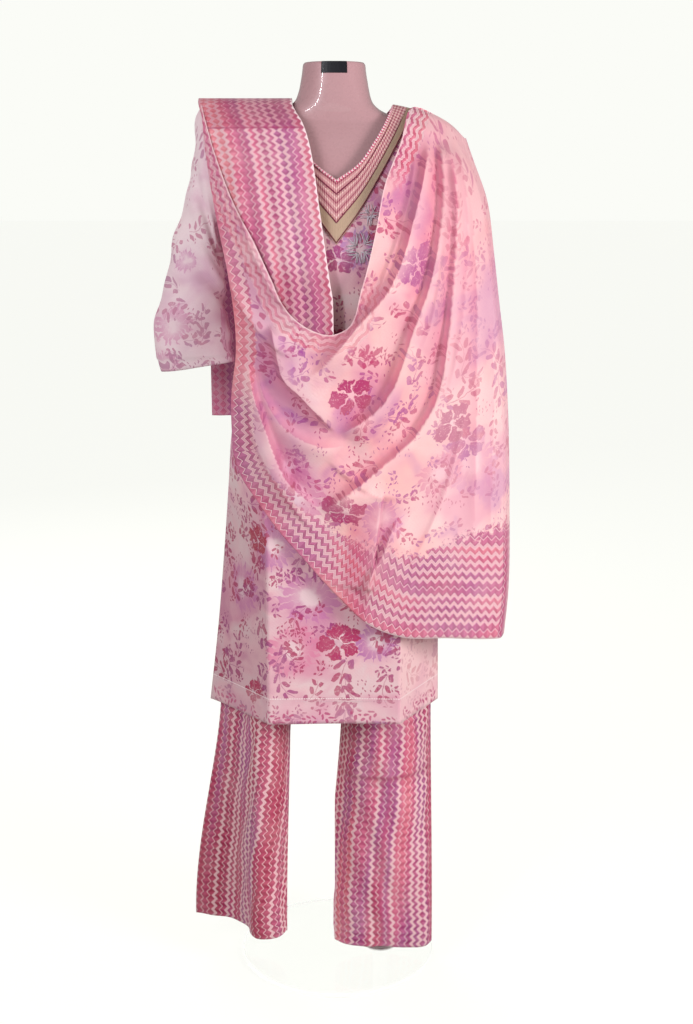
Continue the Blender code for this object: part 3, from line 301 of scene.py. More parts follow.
def read(rows, column, at):
    # A column of a table at any places along it, on a smooth curve that doesn't overshoot.
    x = np.array([row[0] for row in rows])
    y = np.array([getattr(row, column) for row in rows])
    step = np.diff(x)
    slope = np.diff(y) / step
    tangent = np.concatenate([slope[:1], np.zeros(len(slope) - 1), slope[-1:]])
    rising = np.flatnonzero(slope[:-1] * slope[1:] > 0)
    tangent[rising + 1] = 2 / (1 / slope[rising] + 1 / slope[rising + 1])
    at = np.clip(at, x[0], x[-1])
    i = np.clip(np.searchsorted(x, at) - 1, 0, len(step) - 1)
    t = (at - x[i]) / step[i]
    start, end = y[i], y[i + 1]
    bend = step[i] * t * (1 - t) * ((1 - t) * tangent[i] - t * tangent[i + 1])
    return start + (end - start) * t * t * (3 - 2 * t) + bend


def middleOf(rows, height):
    # the middle and half the width of a body table at a height
    left, right = read(rows, "left", height), read(rows, "right", height)
    return (left + right) / 2, (right - left) / 2


def runOf(points):
    # distance run along a line of points
    return np.concatenate([[0], np.cumsum(np.linalg.norm(np.diff(points, axis=0), axis=1))])


def placesAt(points, run, at):
    return np.stack([np.interp(at, run, points[:, k]) for k in range(points.shape[1])], axis=-1)


def route(points, share):
    # Places at given shares of the length of a smooth curve through the points.
    p = np.array(points, float)
    along = runOf(p)
    tangent = np.gradient(p, along, axis=0)
    fine = np.linspace(0, along[-1], 240)
    i = np.clip(np.searchsorted(along, fine) - 1, 0, len(along) - 2)
    step = (along[i + 1] - along[i])[:, None]
    t = (fine - along[i])[:, None] / step
    curve = (
        p[i] + (p[i + 1] - p[i]) * t * t * (3 - 2 * t)
        + step * t * (1 - t) * ((1 - t) * tangent[i] - t * tangent[i + 1])
    )
    reached = runOf(curve)
    at = np.asarray(share) * reached[-1]
    return placesAt(curve, reached, at)


def shoulderDrop(x):
    # How far the shoulder line lies below the neck point, at a distance from the centre.
    out = np.clip((np.abs(x) - neckPoint) / shoulderReach, 0, 1.2)
    right = rightSlope * out**1.5 + rightRounding * out**6
    return np.where(x > 0, right, leftSlope * out**1.5) + shoulderTilt * x


def nearShoulder(height):
    # 0 below the chest and 1 at the shoulder line.
    return smooth((height - armpitHeight) / (1.400 - armpitHeight))


def bulge(share):
    # (sideways, outwards) on a rounded quarter of a body section, from its middle to its side.
    turn = share * math.pi / 2
    return np.sin(turn) ** bodyRoundness, np.clip(np.cos(turn), 0, 1) ** bodyRoundness


def turnAt(sideways):
    # The share of a rounded quarter at which it has gone that far sideways.
    return np.arcsin(np.clip(sideways, 0, 1) ** (1 / bodyRoundness)) / (math.pi / 2)


def kurta(side, face, share, height):
    # A point of the kurta's outer face. side is -1 left or 1 right; face is -1 front or 1 back.
    middle, half = middleOf(kurtaBodies, height)
    stands = read(kurtaBodies, "front" if face < 0 else "back", height)
    sideways, outwards = bulge(share)
    xRound, yRound = middle + side * half * sideways, stands * outwards
    seam = middle + side * half
    crease = creaseCentre + side * creaseHalf
    flat = np.clip(share / creaseShare, 0, 1)
    facet = np.clip((share - creaseShare) / (1 - creaseShare), 0, 1)
    xBox = creaseCentre + (crease - creaseCentre) * flat + (seam - crease) * facet
    yBox = stands * (1 - facet)
    boxed = smooth((creaseTop - height) / (creaseTop - creaseFull)) if face < 0 else 0.0
    opened = np.clip((slitTop - height) / (slitTop - kurtaHem), 0, 1) * sideSlitOpening
    x = xRound + (xBox - xRound) * boxed
    y = yRound + (yBox - yRound) * boxed + halfGap + opened * share**3
    z = height - shoulderDrop(x) * nearShoulder(height)
    return np.stack([x, face * y, z], axis=-1)


def seamShare(side, height):
    # How far out a kurta panel reaches: to its side seam, or to the armhole.
    left, right = read(kurtaBodies, "left", height), read(kurtaBodies, "right", height)
    edge = read(armholes, "left" if side < 0 else "right", np.maximum(height, armpitHeight))
    reach = turnAt(np.abs(edge - (left + right) / 2) / ((right - left) / 2))
    return np.where(height > armpitHeight, reach, 1.0)


def neckShare(side, height, edgeRows):
    # Where a kurta panel starts: at the middle, or above the neck's tip at the neckline.
    middle, half = middleOf(kurtaBodies, height)
    edge = side * read(edgeRows, "x", height)
    start = turnAt(np.clip((edge - middle) * side, 0, None) / half)
    return np.where(height > edgeRows[0].height, start, 0.0)


def unit(vectors):
    # The same directions at length 1.
    return vectors / np.maximum(np.linalg.norm(vectors, axis=-1, keepdims=True), 1e-12)


def normalsOf(points, outward, closed=False):
    # Unit normals of a grid of points, on the side that the outward direction is on. A closed grid has
    # its first column again as its last.
    grid = np.concatenate([points[:, -2:-1], points, points[:, 1:2]], axis=1) if closed else points
    normal = np.cross(np.gradient(grid, axis=1), np.gradient(grid, axis=0))
    if closed:
        normal = normal[:, 1:-1]
    facing = np.sign((normal * np.asarray(outward)).sum())
    return unit(normal * facing)


def around(points):
    # Directions away from the upright axis through the middle of a tube's points.
    away = points - points.mean(axis=1, keepdims=True)
    away[..., 2] = 0
    return away


def formRing(height, count, out=0.0):
    # One level ring of the dress form, grown outwards by a distance.
    half = read(formRings, "half", height) + out
    front, back = read(formRings, "front", height) + out, read(formRings, "back", height) + out
    turn = np.arange(count) * 2 * math.pi / count
    cosine, sine = np.cos(turn), np.sin(turn)
    x = formCentre + half * np.sign(cosine) * np.abs(cosine) ** bodyRoundness
    y = np.where(sine < 0, front, back) * np.sign(sine) * np.abs(sine) ** bodyRoundness
    tilt = shoulderTilt * x * nearShoulder(height) * smooth((1.455 - height) / 0.02)
    return np.stack([x, y, height - tilt], axis=-1)


def armholeLoop(side, count):
    # The armhole's edge as a closed loop: from the armpit up the front, and down the back.
    heights = armpitHeight + (shoulderHeight - armpitHeight) * np.linspace(0, 1, 40)
    front = kurta(side, -1, seamShare(side, heights), heights)
    back = kurta(side, 1, seamShare(side, heights), heights)
    loop = np.concatenate([front, back[::-1]])
    along = runOf(loop)
    at = np.linspace(0, along[-1], count)
    return placesAt(loop, along, at)


def sleeveGrid(side, outer, inner, fall, rows, count):
    # Rings of a sleeve from the armhole to the cuff, each with its first point again at its end. fall
    # is how steeply the sleeve's head drops away from the shoulder.
    share = np.linspace(0, 1, rows) ** sleeveCrowding
    out, inn = route(outer, share), route(inner, share)
    turn = np.linspace(0, 2 * math.pi, count)
    loop = armholeLoop(side, count)
    rings = []
    for k in range(rows):
        centre, reach = (out[k] + inn[k]) / 2, (out[k] - inn[k]) / 2
        depth = float(read(sleeveDepths, "depth", share[k]))
        x = centre[0] - reach[0] * np.cos(turn)
        z = centre[1] - reach[1] * np.cos(turn)
        ring = np.stack([x, -depth * np.sin(turn), z], axis=-1)
        start = loop + np.array([side * (armholeGap + share[k] * sleeveStart), 0, -share[k] * fall])
        rings.append(ring + (start - ring) * (1 - smooth(share[k] / sleeveHead)))
    rings = np.array(rings)
    rings[:, -1] = rings[:, 0]
    return rings


def legRows(stations, hem, side, face, heights, columns):
    # Rows of points of a trouser panel, from its side seam to its centre seam and inseam.
    share = np.linspace(0, 1, columns)
    high = np.array([(s.crotchX, s.crotchY) for s in stations])
    knee = np.array([(s.kneeX, s.kneeY) for s in stations])
    low = np.array([(s.hemX, s.hemY) for s in stations])
    turn = np.array([s.hipTurn for s in stations])
    rows = []
    for h in heights:
        leg = knee + (low - knee) * smooth((kurtaHem - h) / (kurtaHem - hem)) ** 0.8
        if h > kurtaHem:
            leg = knee + (high - knee) * smooth((h - kurtaHem) / (crotchHeight - kurtaHem))
        seam = float(read(hipBodies, "left" if side < 0 else "right", h))
        stands = float(read(hipBodies, "front" if face < 0 else "back", h))
        sideways, outwards = bulge(1 - turn)
        hip = np.stack([hipCentre + (seam - hipCentre) * sideways, face * stands * outwards], axis=-1)
        row = route(leg + (hip - leg) * float(smooth((h - crotchHeight) / hipJoin)), share)
        inner = hipCentre + side * halfGap
        row[:, 0] = np.where((row[:, 0] - inner) * side < 0, inner, row[:, 0])
        rows.append(np.stack([row[:, 0], row[:, 1], h + 0 * share], axis=-1))
    return np.array(rows)


def foldShape(x, z, fold):
    # how far one fold stands out at places seen from the front, how much painted shade lies in its valley
    # and how much painted highlight on its crest
    line = route(fold.route, np.linspace(0, 1, 120))
    way = np.gradient(line, axis=0)
    way /= np.linalg.norm(way, axis=1)[:, None]
    dx = x[..., None] - line[:, 0]
    dz = z[..., None] - line[:, 1]
    nearest = np.argmin(dx * dx + dz * dz, axis=-1)
    dx = np.take_along_axis(dx, nearest[..., None], -1)[..., 0]
    dz = np.take_along_axis(dz, nearest[..., None], -1)[..., 0]
    away = np.hypot(dx, dz)
    over = way[nearest, 0] * dz - way[nearest, 1] * dx > 0
    width = np.where(over, fold.over, fold.under * foldFit["crisp"])
    share = nearest / (len(line) - 1)
    held = smooth(share / fold.start) * smooth((1 - share) / fold.end)
    valleyShade = np.where(over, 0.0, 1.0) * held * np.exp(-away / foldFit["valleyShade"])
    crestHighlight = np.where(over, 1.0, 0.3) * held * np.exp(-(away / foldFit["crestHighlight"]) ** 2)
    size = min(fold.rise / 0.012, 1.0)
    return fold.rise * foldFit["rise"] * held * np.exp(-((away / width) ** 2)), valleyShade * size, crestHighlight * size


def drapeDrop(x):
    # How far the long stretch's ridge lies below its top: it follows the right shoulder down.
    return shoulderDrop(np.clip(x, 0, None)) - leftLift * smooth(-x / 0.06)


def drapeDepth(x, z):
    # How far the long stretch stands out in front, without its folds.
    height = z + drapeDrop(x) * nearShoulder(z)
    middle, half = middleOf(drapeLevels, height)
    sideways = np.clip(np.abs(x - middle) / half, 0, 0.995)
    return read(drapeLevels, "front", height) * (1 - sideways**2.3) ** (1 / 2.3)


def drapeGrid(columns, rows):
    # The long stretch: a patch between its four edges as seen from the front, given its depth.
    s, t = np.linspace(0, 1, columns), np.linspace(0, 1, rows) ** 1.5
    ridge = tuple((x, drapeTop - float(drapeDrop(np.float64(x)))) for x in rightRidge)
    top, low = route(cowlEdge + ridge, s), route(lowerEdge, s)
    left, right = route(leftEdge, t), route(ridge[-1:] + rightEdge, t)
    u, v = s[None, :, None], t[:, None, None]
    across = left[:, None] * (1 - u) + right[:, None] * u
    down = top[None] * (1 - v) + low[None] * v
    corners = (top[0] * (1 - u) * (1 - v) + top[-1] * u * (1 - v)
               + low[0] * (1 - u) * v + low[-1] * u * v)
    flat = across + down - corners
    x, z = flat[..., 0], flat[..., 1]
    stands = drapeDepth(x, z)
    held = smooth((drapeTop - z - drapeDrop(x)) / 0.05)
    # masks of painted shade in the fold valleys and painted highlight on the fold crests, for the print
    valleyShade, crestHighlight = np.zeros_like(x), np.zeros_like(x)
    for fold in drapeFolds + smallFolds:
        rise, low, high = foldShape(x, z, fold)
        stands = stands + rise * held
        valleyShade, crestHighlight = np.maximum(valleyShade, low), np.maximum(crestHighlight, high)
    gather = np.sin((x - 0.16) / (0.055 + 0.35 * np.clip(1.43 - z, 0, 1)) * 2 * math.pi * 2.2)
    stands = stands + 0.0022 * gather * held * smooth((z - 1.12) / 0.2) * smooth((x - 0.07) / 0.05)
    return np.stack([x, -stands, z], axis=-1), valleyShade * held, crestHighlight * held


def turnedBack(grid, columns):
    # Columns that carry the long stretch's outer edge round to the back.
    edge = grid[:, -1]
    high = smooth((edge[:, 2] - 1.28) / 0.10)[:, None]
    extra = []
    for k in range(1, columns + 1):
        q = k / columns
        reach = turnedEdge * q * (1 - 0.55 * high)
        bulged = turnedBulge * math.sin(q * math.pi / 2) * (1 - 0.6 * high)
        extra.append(edge + np.concatenate([bulged, reach, 0 * reach], axis=1))
    return np.concatenate([grid, np.stack(extra, axis=1)], axis=1)


def endGrid(table, face, heights, columns):
    # The first end's front or back hang, from its lower edge up to the ridge.
    t = np.linspace(0, 1, columns)[None, :]
    h = np.array(heights)[:, None] + 0 * t
    left, right = read(table, "left", h), read(table, "right", h)
    x = right + (left - right) * t
    low = smooth((endTop - h) / 0.03)
    pleats = endPleatDepth * (1 + np.cos(t * endPleats * 2 * math.pi)) / 2 * low
    if face < 0:
        stands = np.clip(drapeDepth(x, h + endSettle) - endUnder * low + pleats, 0, None)
    else:
        stands = read(table, "back", h) + pleats
    stands[h >= endTop] = 0
    return np.stack([x, face * stands, h], axis=-1)


def fallGrid(heights, columns):
    # The fall behind the right shoulder, from its pointed lower edge up to the ridge.
    t = np.linspace(0, 1, columns)[None, :]
    h = np.array(heights)[:, None] + 0 * t
    left, right = read(fallStrips, "left", h), read(fallStrips, "right", h)
    x = left + (right - left) * t
    pleats = fallPleatDepth * (1 - np.cos(t * fallPleats * 2 * math.pi)) / 2
    y = read(fallStrips, "back", h) + pleats * smooth((drapeTop - h) / 0.10)
    z = h - drapeDrop(x) * nearShoulder(h) - fallPoint * (1 - t) * smooth((1.300 - h) / 0.17)
    return np.stack([x, y, z], axis=-1)


def tone(red, green, blue):
    # a colour as 0 to 255 sRGB values, made linear for a socket
    made = []
    for part in (red, green, blue):
        share = part / 255
        made.append(share / 12.92 if share <= 0.04045 else ((share + 0.055) / 1.055) ** 2.4)
    return (*made, 1.0)


board = {}


class Wire:
    # a node's output, so that sums of shader values are written as plain sums
    def __init__(self, socket):
        self.socket = socket

    def __abs__(self):
        return calc("ABSOLUTE", self)


for sign, word in (("add", "ADD"), ("sub", "SUBTRACT"), ("mul", "MULTIPLY"), ("truediv", "DIVIDE"),
                   ("pow", "POWER")):
    setattr(Wire, f"__{sign}__", lambda one, other, word=word: calc(word, one, other))
    setattr(Wire, f"__r{sign}__", lambda one, other, word=word: calc(word, other, one))


def plug(socket, value):
    # a socket takes either another node's output or a plain value
    if isinstance(value, Wire):
        board["tree"].links.new(value.socket, socket)
    else:
        socket.default_value = value


def fill(node, values):
    for name, value in values.items():
        plug(node.inputs[name], value)
    return node


def newNode(kind, *values, **settings):
    # a node of the material or group in work, with its settings and its first inputs
    made = board["tree"].nodes.new("ShaderNode" + kind)
    for name, value in settings.items():
        setattr(made, name, value)
    for socket, value in zip(made.inputs, values):
        plug(socket, value)
    return made


def calc(operation, *values, clamp=False):
    return Wire(newNode("Math", *values, operation=operation, use_clamp=clamp).outputs[0])


def vectorCalc(operation, *values):
    made = newNode("VectorMath", *values, operation=operation)
    return Wire(made.outputs["Value" if operation == "LENGTH" else "Vector"])


def remap(value, low, high, toLow=0.0, toHigh=1.0, soft=True):
    kind = "SMOOTHSTEP" if soft else "LINEAR"
    return Wire(newNode("MapRange", value, low, high, toLow, toHigh, interpolation_type=kind).outputs[0])


def mixed(share, first, second, mode="MIX"):
    made = newNode("Mix", share, data_type="RGBA", blend_type=mode)
    plug(made.inputs[6], first)
    plug(made.inputs[7], second)
    return Wire(made.outputs[2])


def ramp(value, *stops):
    # stops are (place, colour) pairs
    made = newNode("ValToRGB", value)
    bands = made.color_ramp.elements
    while len(bands) < len(stops):
        bands.new(0.5)
    for band, (place, colour) in zip(bands, stops):
        band.position = place
        band.color = colour
    return Wire(made.outputs["Color"])


def noise(vector, scale, detail=2.0, roughness=0.5, distortion=0.0):
    return Wire(fill(newNode("TexNoise"), {
        "Vector": vector, "Scale": scale, "Detail": detail, "Roughness": roughness,
        "Distortion": distortion}).outputs["Fac"])


def axes(vector):
    return [Wire(part) for part in newNode("SeparateXYZ", vector).outputs]


def joined(x, y, z=0.0):
    return Wire(newNode("CombineXYZ", x, y, z).outputs[0])


def objectPlace():
    return Wire(newNode("TexCoord").outputs["Object"])


def mapOf(name="UVMap"):
    return Wire(newNode("UVMap", uv_map=name).outputs[0])


def addBump(shader, height, distance, strength=1.0):
    made = fill(newNode("Bump"), {"Strength": strength, "Distance": distance, "Height": height})
    plug(shader.inputs["Normal"], Wire(made.outputs[0]))


def newGroup(name, inputs, outputs):
    # an effect that several materials share: name, {input: default}, [outputs]
    tree = board["tree"] = bpy.data.node_groups.new(name, "ShaderNodeTree")
    for label, value in inputs.items():
        kind = "NodeSocketVector" if label == "Vector" else "NodeSocketFloat"
        socket = tree.interface.new_socket(label, in_out="INPUT", socket_type=kind)
        if label != "Vector":
            socket.default_value = value
    for label in outputs:
        tree.interface.new_socket(label, in_out="OUTPUT", socket_type="NodeSocketFloat")
    start, end = tree.nodes.new("NodeGroupInput"), tree.nodes.new("NodeGroupOutput")
    return {socket.name: Wire(socket) for socket in start.outputs}, end


def useGroup(name, **values):
    made = fill(newNode("Group", node_tree=bpy.data.node_groups[name]), values)
    return {socket.name: Wire(socket) for socket in made.outputs}


def newFinish(name, roughness=0.8, metallic=0.0):
    made = bpy.data.materials.new(name)
    made.use_nodes = True
    board["tree"] = made.node_tree
    shader = made.node_tree.nodes["Principled BSDF"]
    return made, fill(shader, {"Roughness": roughness, "Metallic": metallic})


def makeZigzag():
    # Upright zigzag stripes, X across and Y along, in metres. Each line between two stripes is a zigzag
    # that swings one way or the other, so a stripe is a ribbon or a chain of diamonds.
    given, result = newGroup("zigzagPrint", {
        "Vector": 0, "Pitch": 0.012, "Wave": 0.014, "Swing": 0.26, "Mirror": 0.25, "Wide": 0.4, "Seed": 0.0,
    }, ["Stripe", "Outline", "Segment", "Edge", "Column", "Ink"])
    x, y, _ = axes(given["Vector"])
    wobble = noise(given["Vector"], 300.0, 2.0)
    across = x / given["Pitch"] + (wobble * 0.16 - 0.08)
    along = y / given["Wave"]
    swing = calc("PINGPONG", along, 0.5) * 4.0 - 1.0
    line = calc("FLOOR", across + 0.5)

    def chances(number):
        dice = fill(newNode("TexWhiteNoise", noise_dimensions="1D"), {"W": number + given["Seed"]})
        return axes(Wire(dice.outputs["Color"]))

    turned, broad, _ = chances(line)
    way = calc("LESS_THAN", turned, given["Mirror"]) * -2.0 + 1.0
    shift = swing * given["Swing"] * way
    side = across - line - shift
    half = calc("LESS_THAN", broad, given["Wide"]) * 0.175 + 0.05
    away = abs(side) - half
    column = line + calc("GREATER_THAN", side, 0.0)
    hue, tint, _ = chances(column + 0.37)
    plug(result.inputs["Stripe"], remap(away, -0.012, 0.022))
    plug(result.inputs["Outline"], remap(away, -0.1, -0.06))
    step = calc("FLOOR", along * 2.0)
    odd = calc("FRACT", step * 0.5) * 2.0
    plug(result.inputs["Segment"], odd * (tint * 0.7 + 0.4))
    plug(result.inputs["Edge"], remap(away, 0.17, 0.13) * calc("GREATER_THAN", side, 0.0))
    plug(result.inputs["Column"], hue)
    plug(result.inputs["Ink"], noise(given["Vector"], 120.0, 3.0, 0.7))


def polar(local, turn, size):
    # distance from a motif's centre in motif radii, and the angle round it
    x, y, _ = axes(local)
    reach = vectorCalc("LENGTH", local) / size
    return reach, calc("ARCTAN2", y, x) + turn


def petals(reach, angle, count, sharp):
    # petal and centre masks of a flower, and the thin gaps and rays between its petals
    turn = angle * (count / 2.0)
    wave = abs(calc("COSINE", turn))
    uneven = calc("SINE", angle * 2.0) * 0.12
    notch = calc("COSINE", turn * 6.0) * 0.05
    edge = wave ** sharp * 0.62 + 0.34
    edge = edge + uneven + notch
    petal = remap(edge - reach, 0.0, 0.06)
    rays = abs(calc("COSINE", turn * 3.0))
    veins = remap(wave * (reach + 0.3), 0.26, 0.12)
    thin = remap(rays, 0.2, 0.08) * remap(reach, 0.7, 0.5)
    veins = calc("MAXIMUM", veins, thin * 0.55)
    return petal, remap(reach, 0.2, 0.14), veins


def ragged(local, spot, scale, amount):
    # the uneven outline that a block print leaves
    bent = fill(newNode("TexNoise", noise_dimensions="2D"), {"Vector": spot, "Scale": scale, "Detail": 2.0})
    moved = vectorCalc("SUBTRACT", Wire(bent.outputs["Color"]), (0.5, 0.5, 0.5))
    return vectorCalc("ADD", local, vectorCalc("MULTIPLY", moved, (amount, amount, 0.0)))


def strewn(given, randomness):
    # cells, one to a motif: the place on the cloth, the way from the cell's middle and three chances
    x, y, _ = axes(given["Vector"])
    spot = joined(x * given["Scale"] + given["Seed"], y * given["Scale"])
    cells = fill(newNode("TexVoronoi", voronoi_dimensions="2D"),
                 {"Vector": spot, "Scale": 1.0, "Randomness": randomness})
    local = vectorCalc("SUBTRACT", spot, Wire(cells.outputs["Position"]))
    return spot, local, axes(Wire(cells.outputs["Color"]))


def spun(vector, angle):
    made = newNode("VectorRotate", vector, rotation_type="Z_AXIS")
    return axes(Wire(fill(made, {"Angle": angle}).outputs[0]))


def makeFlowers():
    # flowers strewn over a cloth, one to a cell; Density is the share of cells that have one
    given, result = newGroup("strewnFlowers", {
        "Vector": 0, "Scale": 12.0, "Size": 0.3, "Petals": 9.0, "Sharp": 0.6, "Density": 0.6, "Seed": 0.0,
    }, ["Petal", "Centre", "Veins", "Reach", "Chance"])
    spot, local, (chanceA, chanceB, chanceC) = strewn(given, 0.7)
    size = given["Size"] * (chanceB * 0.5 + 0.7)
    reach, angle = polar(ragged(local, spot, 7.0, 0.16), chanceC * 6.28, size)
    petal, centre, veins = petals(reach, angle, given["Petals"], given["Sharp"])
    there = calc("LESS_THAN", chanceA, given["Density"])
    fill(result, {"Petal": petal * there, "Centre": centre * there, "Veins": veins,
                  "Reach": reach + (there * -9.0 + 9.0), "Chance": chanceC})


def makeFlowerMark():
    # one flower at a chosen place of the cloth
    given, result = newGroup("flowerMark", {
        "Vector": 0, "X": 0.0, "Y": 0.0, "Size": 0.03, "Petals": 5.0, "Sharp": 0.4, "Turn": 0.0,
    }, ["Petal", "Centre", "Veins", "Reach"])
    local = vectorCalc("SUBTRACT", given["Vector"], joined(given["X"], given["Y"]))
    local = ragged(local, given["Vector"], 80.0, 0.016)
    reach, angle = polar(local, given["Turn"], given["Size"])
    petal, centre, veins = petals(reach, angle, given["Petals"], given["Sharp"])
    plug(result.inputs["Petal"], petal)
    plug(result.inputs["Centre"], centre)
    plug(result.inputs["Veins"], veins)
    plug(result.inputs["Reach"], reach)


def makeSprays():
    # sprays of separate leaflets in pairs along a bent stem, strewn over a cloth
    given, result = newGroup("leafSprays", {
        "Vector": 0, "Scale": 14.0, "Size": 0.42, "Leaves": 3.0, "Density": 0.6, "Seed": 0.0,
    }, ["Leaf", "Stem", "Chance"])
    spot, local, (chanceA, chanceB, chanceC) = strewn(given, 0.6)
    along, aside, _ = spun(ragged(local, spot, 6.0, 0.07), chanceC * 6.28)
    size = given["Size"] * (chanceB * 0.5 + 0.75)
    along, aside = along / size, aside / size
    aside = abs(aside - along * along * 0.35)
    inside = calc("SUBTRACT", 1.0, along * along, clamp=True)
    inLeaf = (calc("FRACT", (along - aside * 0.8) * given["Leaves"]) - 0.5) / 0.34
    outLeaf = (aside - 0.27) / 0.23
    leaf = remap(abs(inLeaf) + outLeaf * outLeaf, 1.0, 0.86) * remap(inside, 0.02, 0.06)
    stem = remap(aside, 0.028, 0.014) * remap(inside, 0.1, 0.2)
    there = calc("LESS_THAN", chanceA, given["Density"])
    fill(result, {"Leaf": leaf * there, "Stem": stem * there, "Chance": chanceB})


def makeDashes():
    # short printed dashes in drifts, as between the flowers
    given, result = newGroup("printedDashes", {"Vector": 0, "Scale": 150.0, "Seed": 0.0}, ["Dash"])
    _, local, (chanceA, _, chanceC) = strewn(given, 0.9)
    along, aside, _ = spun(local, chanceC * 1.6 + 0.8)
    along, aside = along / 0.36, aside / 0.15
    drift = remap(noise(given["Vector"], 22.0, 2.0), 0.54, 0.64)
    there = calc("LESS_THAN", chanceA, drift * 0.75)
    fill(result, {"Dash": remap(along * along + aside * aside, 1.0, 0.7) * there})


def makeWeave():
    # plain weave: two sets of threads over and under each other, with slubs
    given, result = newGroup("plainWeave", {"Vector": 0, "Threads": 1100.0, "Slub": 0.5},
                             ["Height", "Worn"])
    x, y, _ = axes(given["Vector"])
    warp = calc("SINE", x * given["Threads"])
    weft = calc("SINE", y * given["Threads"])
    woven = warp * weft * 0.5 + 0.5
    stretched = joined(x * 40.0, y * 600.0)
    slubs = noise(stretched, 1.0, 2.0)
    plug(result.inputs["Height"], slubs * given["Slub"] + woven * 0.5)
    plug(result.inputs["Worn"], noise(given["Vector"], 18.0, 4.0, 0.6))


def makeClouds():
    # watercolour patches: a broad wash, a second one and a grain
    given, result = newGroup("dyeClouds", {"Vector": 0, "Scale": 9.0, "Seed": 0.0},
                             ["Wash", "Second", "Grain"])
    moved = vectorCalc("ADD", given["Vector"], joined(given["Seed"], given["Seed"]))
    plug(result.inputs["Wash"], noise(moved, given["Scale"], 3.0, 0.55, 0.6))
    other = vectorCalc("ADD", moved, (3.7, 1.9, 0.0))
    plug(result.inputs["Second"], noise(other, given["Scale"] * 1.9, 3.0, 0.5, 0.9))
    plug(result.inputs["Grain"], noise(given["Vector"], 420.0, 2.0, 0.6))


for makeGroup in (makeZigzag, makeFlowers, makeFlowerMark, makeSprays, makeDashes, makeWeave,
                  makeClouds):
    makeGroup()
print("shared effects ready")


def clothShading(shader, vector, colour, threads=1100.0, depth=0.00035):
    # weave bump, a little uneven wear in colour and roughness, and a soft sheen
    weave = useGroup("plainWeave", Vector=vector, Threads=threads, Slub=0.6)
    addBump(shader, weave["Height"], depth, 0.5)
    faded = mixed(remap(weave["Worn"], 0.35, 0.75, 0.0, 0.16), colour, tone(250, 214, 214))
    plug(shader.inputs["Base Color"], faded)
    plug(shader.inputs["Roughness"], remap(weave["Worn"], 0.3, 0.7, 0.72, 0.88))
    shader.inputs["Sheen Weight"].default_value = 0.12
    shader.inputs["Sheen Roughness"].default_value = 0.45
    shader.inputs["Specular IOR Level"].default_value = 0.3


zigzagShades = {"white": tone(248, 218, 222), "gap": tone(218, 172, 182), "gapWarm": tone(232, 186, 190)}


def zigzagColour(vector, drift, pitch=0.0116, wave=0.0126, mirror=0.22, wide=0.40, jitter=0.36, seed=0.0):
    # stripes that drift from crimson through mauve to coral over a pale ground, outlined in white
    stripes = useGroup("zigzagPrint", Vector=vector, Pitch=pitch, Wave=wave, Mirror=mirror, Wide=wide,
                       Seed=seed)
    shifted = (stripes["Column"] - 0.5) * jitter
    place = calc("ADD", drift, shifted, clamp=True)
    dark = ramp(place, (0.0, tone(154, 32, 68)), (0.25, tone(158, 42, 84)), (0.5, tone(144, 54, 110)),
                (0.75, tone(182, 58, 102)), (1.0, tone(206, 84, 102)))
    middle = ramp(place, (0.0, tone(194, 78, 108)), (0.25, tone(200, 86, 122)), (0.5, tone(186, 100, 150)),
                  (0.75, tone(216, 110, 142)), (1.0, tone(234, 142, 150)))
    inked = remap(stripes["Ink"], 0.38, 0.68) * 0.4 - 0.2
    share = calc("MAXIMUM", stripes["Segment"] * 0.8, stripes["Edge"])
    stripe = mixed(calc("ADD", share, inked, clamp=True), middle, dark)
    ground = mixed(stripes["Ink"], zigzagShades["gap"], zigzagShades["gapWarm"])
    ground = mixed(stripes["Outline"] * 0.9, ground, zigzagShades["white"])
    return mixed(stripes["Stripe"], ground, stripe)


def makeTrouserPrint():
    made, shader = newFinish("trouserZigzag")
    flat = mapOf()
    x, y, _ = axes(flat)
    broad = noise(joined(x, y * 0.12), 14.0, 1.0)
    drift = remap(broad, 0.28, 0.78, 0.0, 0.85)
    colour = zigzagColour(flat, drift, mirror=0.3, wide=0.5, jitter=0.3, seed=2.0)
    # painted shade at the right front's crease: the map's first part draws a dark line along it, its second
    # part the shade beside it
    light, dark, _ = axes(mapOf("paintedFoldShading"))
    colour = mixed(dark * 0.3, colour, tone(190, 96, 126), "MULTIPLY")
    colour = mixed(light * 0.7, colour, tone(158, 52, 92))
    clothShading(shader, flat, colour)
    return made


def makeEndPrint():
    # paler stripes, with a pressed crease across below the shoulder painted as a dark line of shade, and the
    # back hang tinted as painted shade
    made, shader = newFinish("dupattaEndZigzag")
    flat = mapOf()
    x, y, _ = axes(flat)
    broad = noise(joined(x, y * 0.15), 12.0, 1.0)
    drift = remap(broad, 0.2, 0.8, -0.25, 0.25) + remap(x, 0.1, 0.168, 0.55, 0.95)
    colour = zigzagColour(flat, drift, pitch=0.0138, wave=0.0128, mirror=0.45, wide=0.75, seed=7.0)
    colour = mixed(0.18, colour, tone(210, 138, 172))
    # painted shade: the back hang, behind the shoulder, is tinted a darker mauve
    depth = axes(objectPlace())[1]
    colour = mixed(remap(depth, 0.02, 0.05, 0.0, 0.3), colour, tone(214, 140, 204))
    away = abs(y) - 0.09
    above = remap(away, 0.0, -0.004, 0.0, 0.45)
    below = remap(away, 0.21, 0.25, 0.0, 0.35)
    colour = mixed(above + below, colour, tone(196, 74, 132), "MULTIPLY")
    # painted shade: the crease is a dark line in the colour only, the shape has no fold there
    crease = remap(abs(away), 0.0026, 0.0012, 0.0, 0.75)
    colour = mixed(crease, colour, tone(168, 52, 100))
    jag = calc("PINGPONG", y / 0.0128, 0.5) * 0.007
    edge = remap(x - jag, 0.0012, 0.0004)
    colour = mixed(edge, colour, tone(248, 222, 228))
    clothShading(shader, flat, colour, depth=0.00025)
    return made


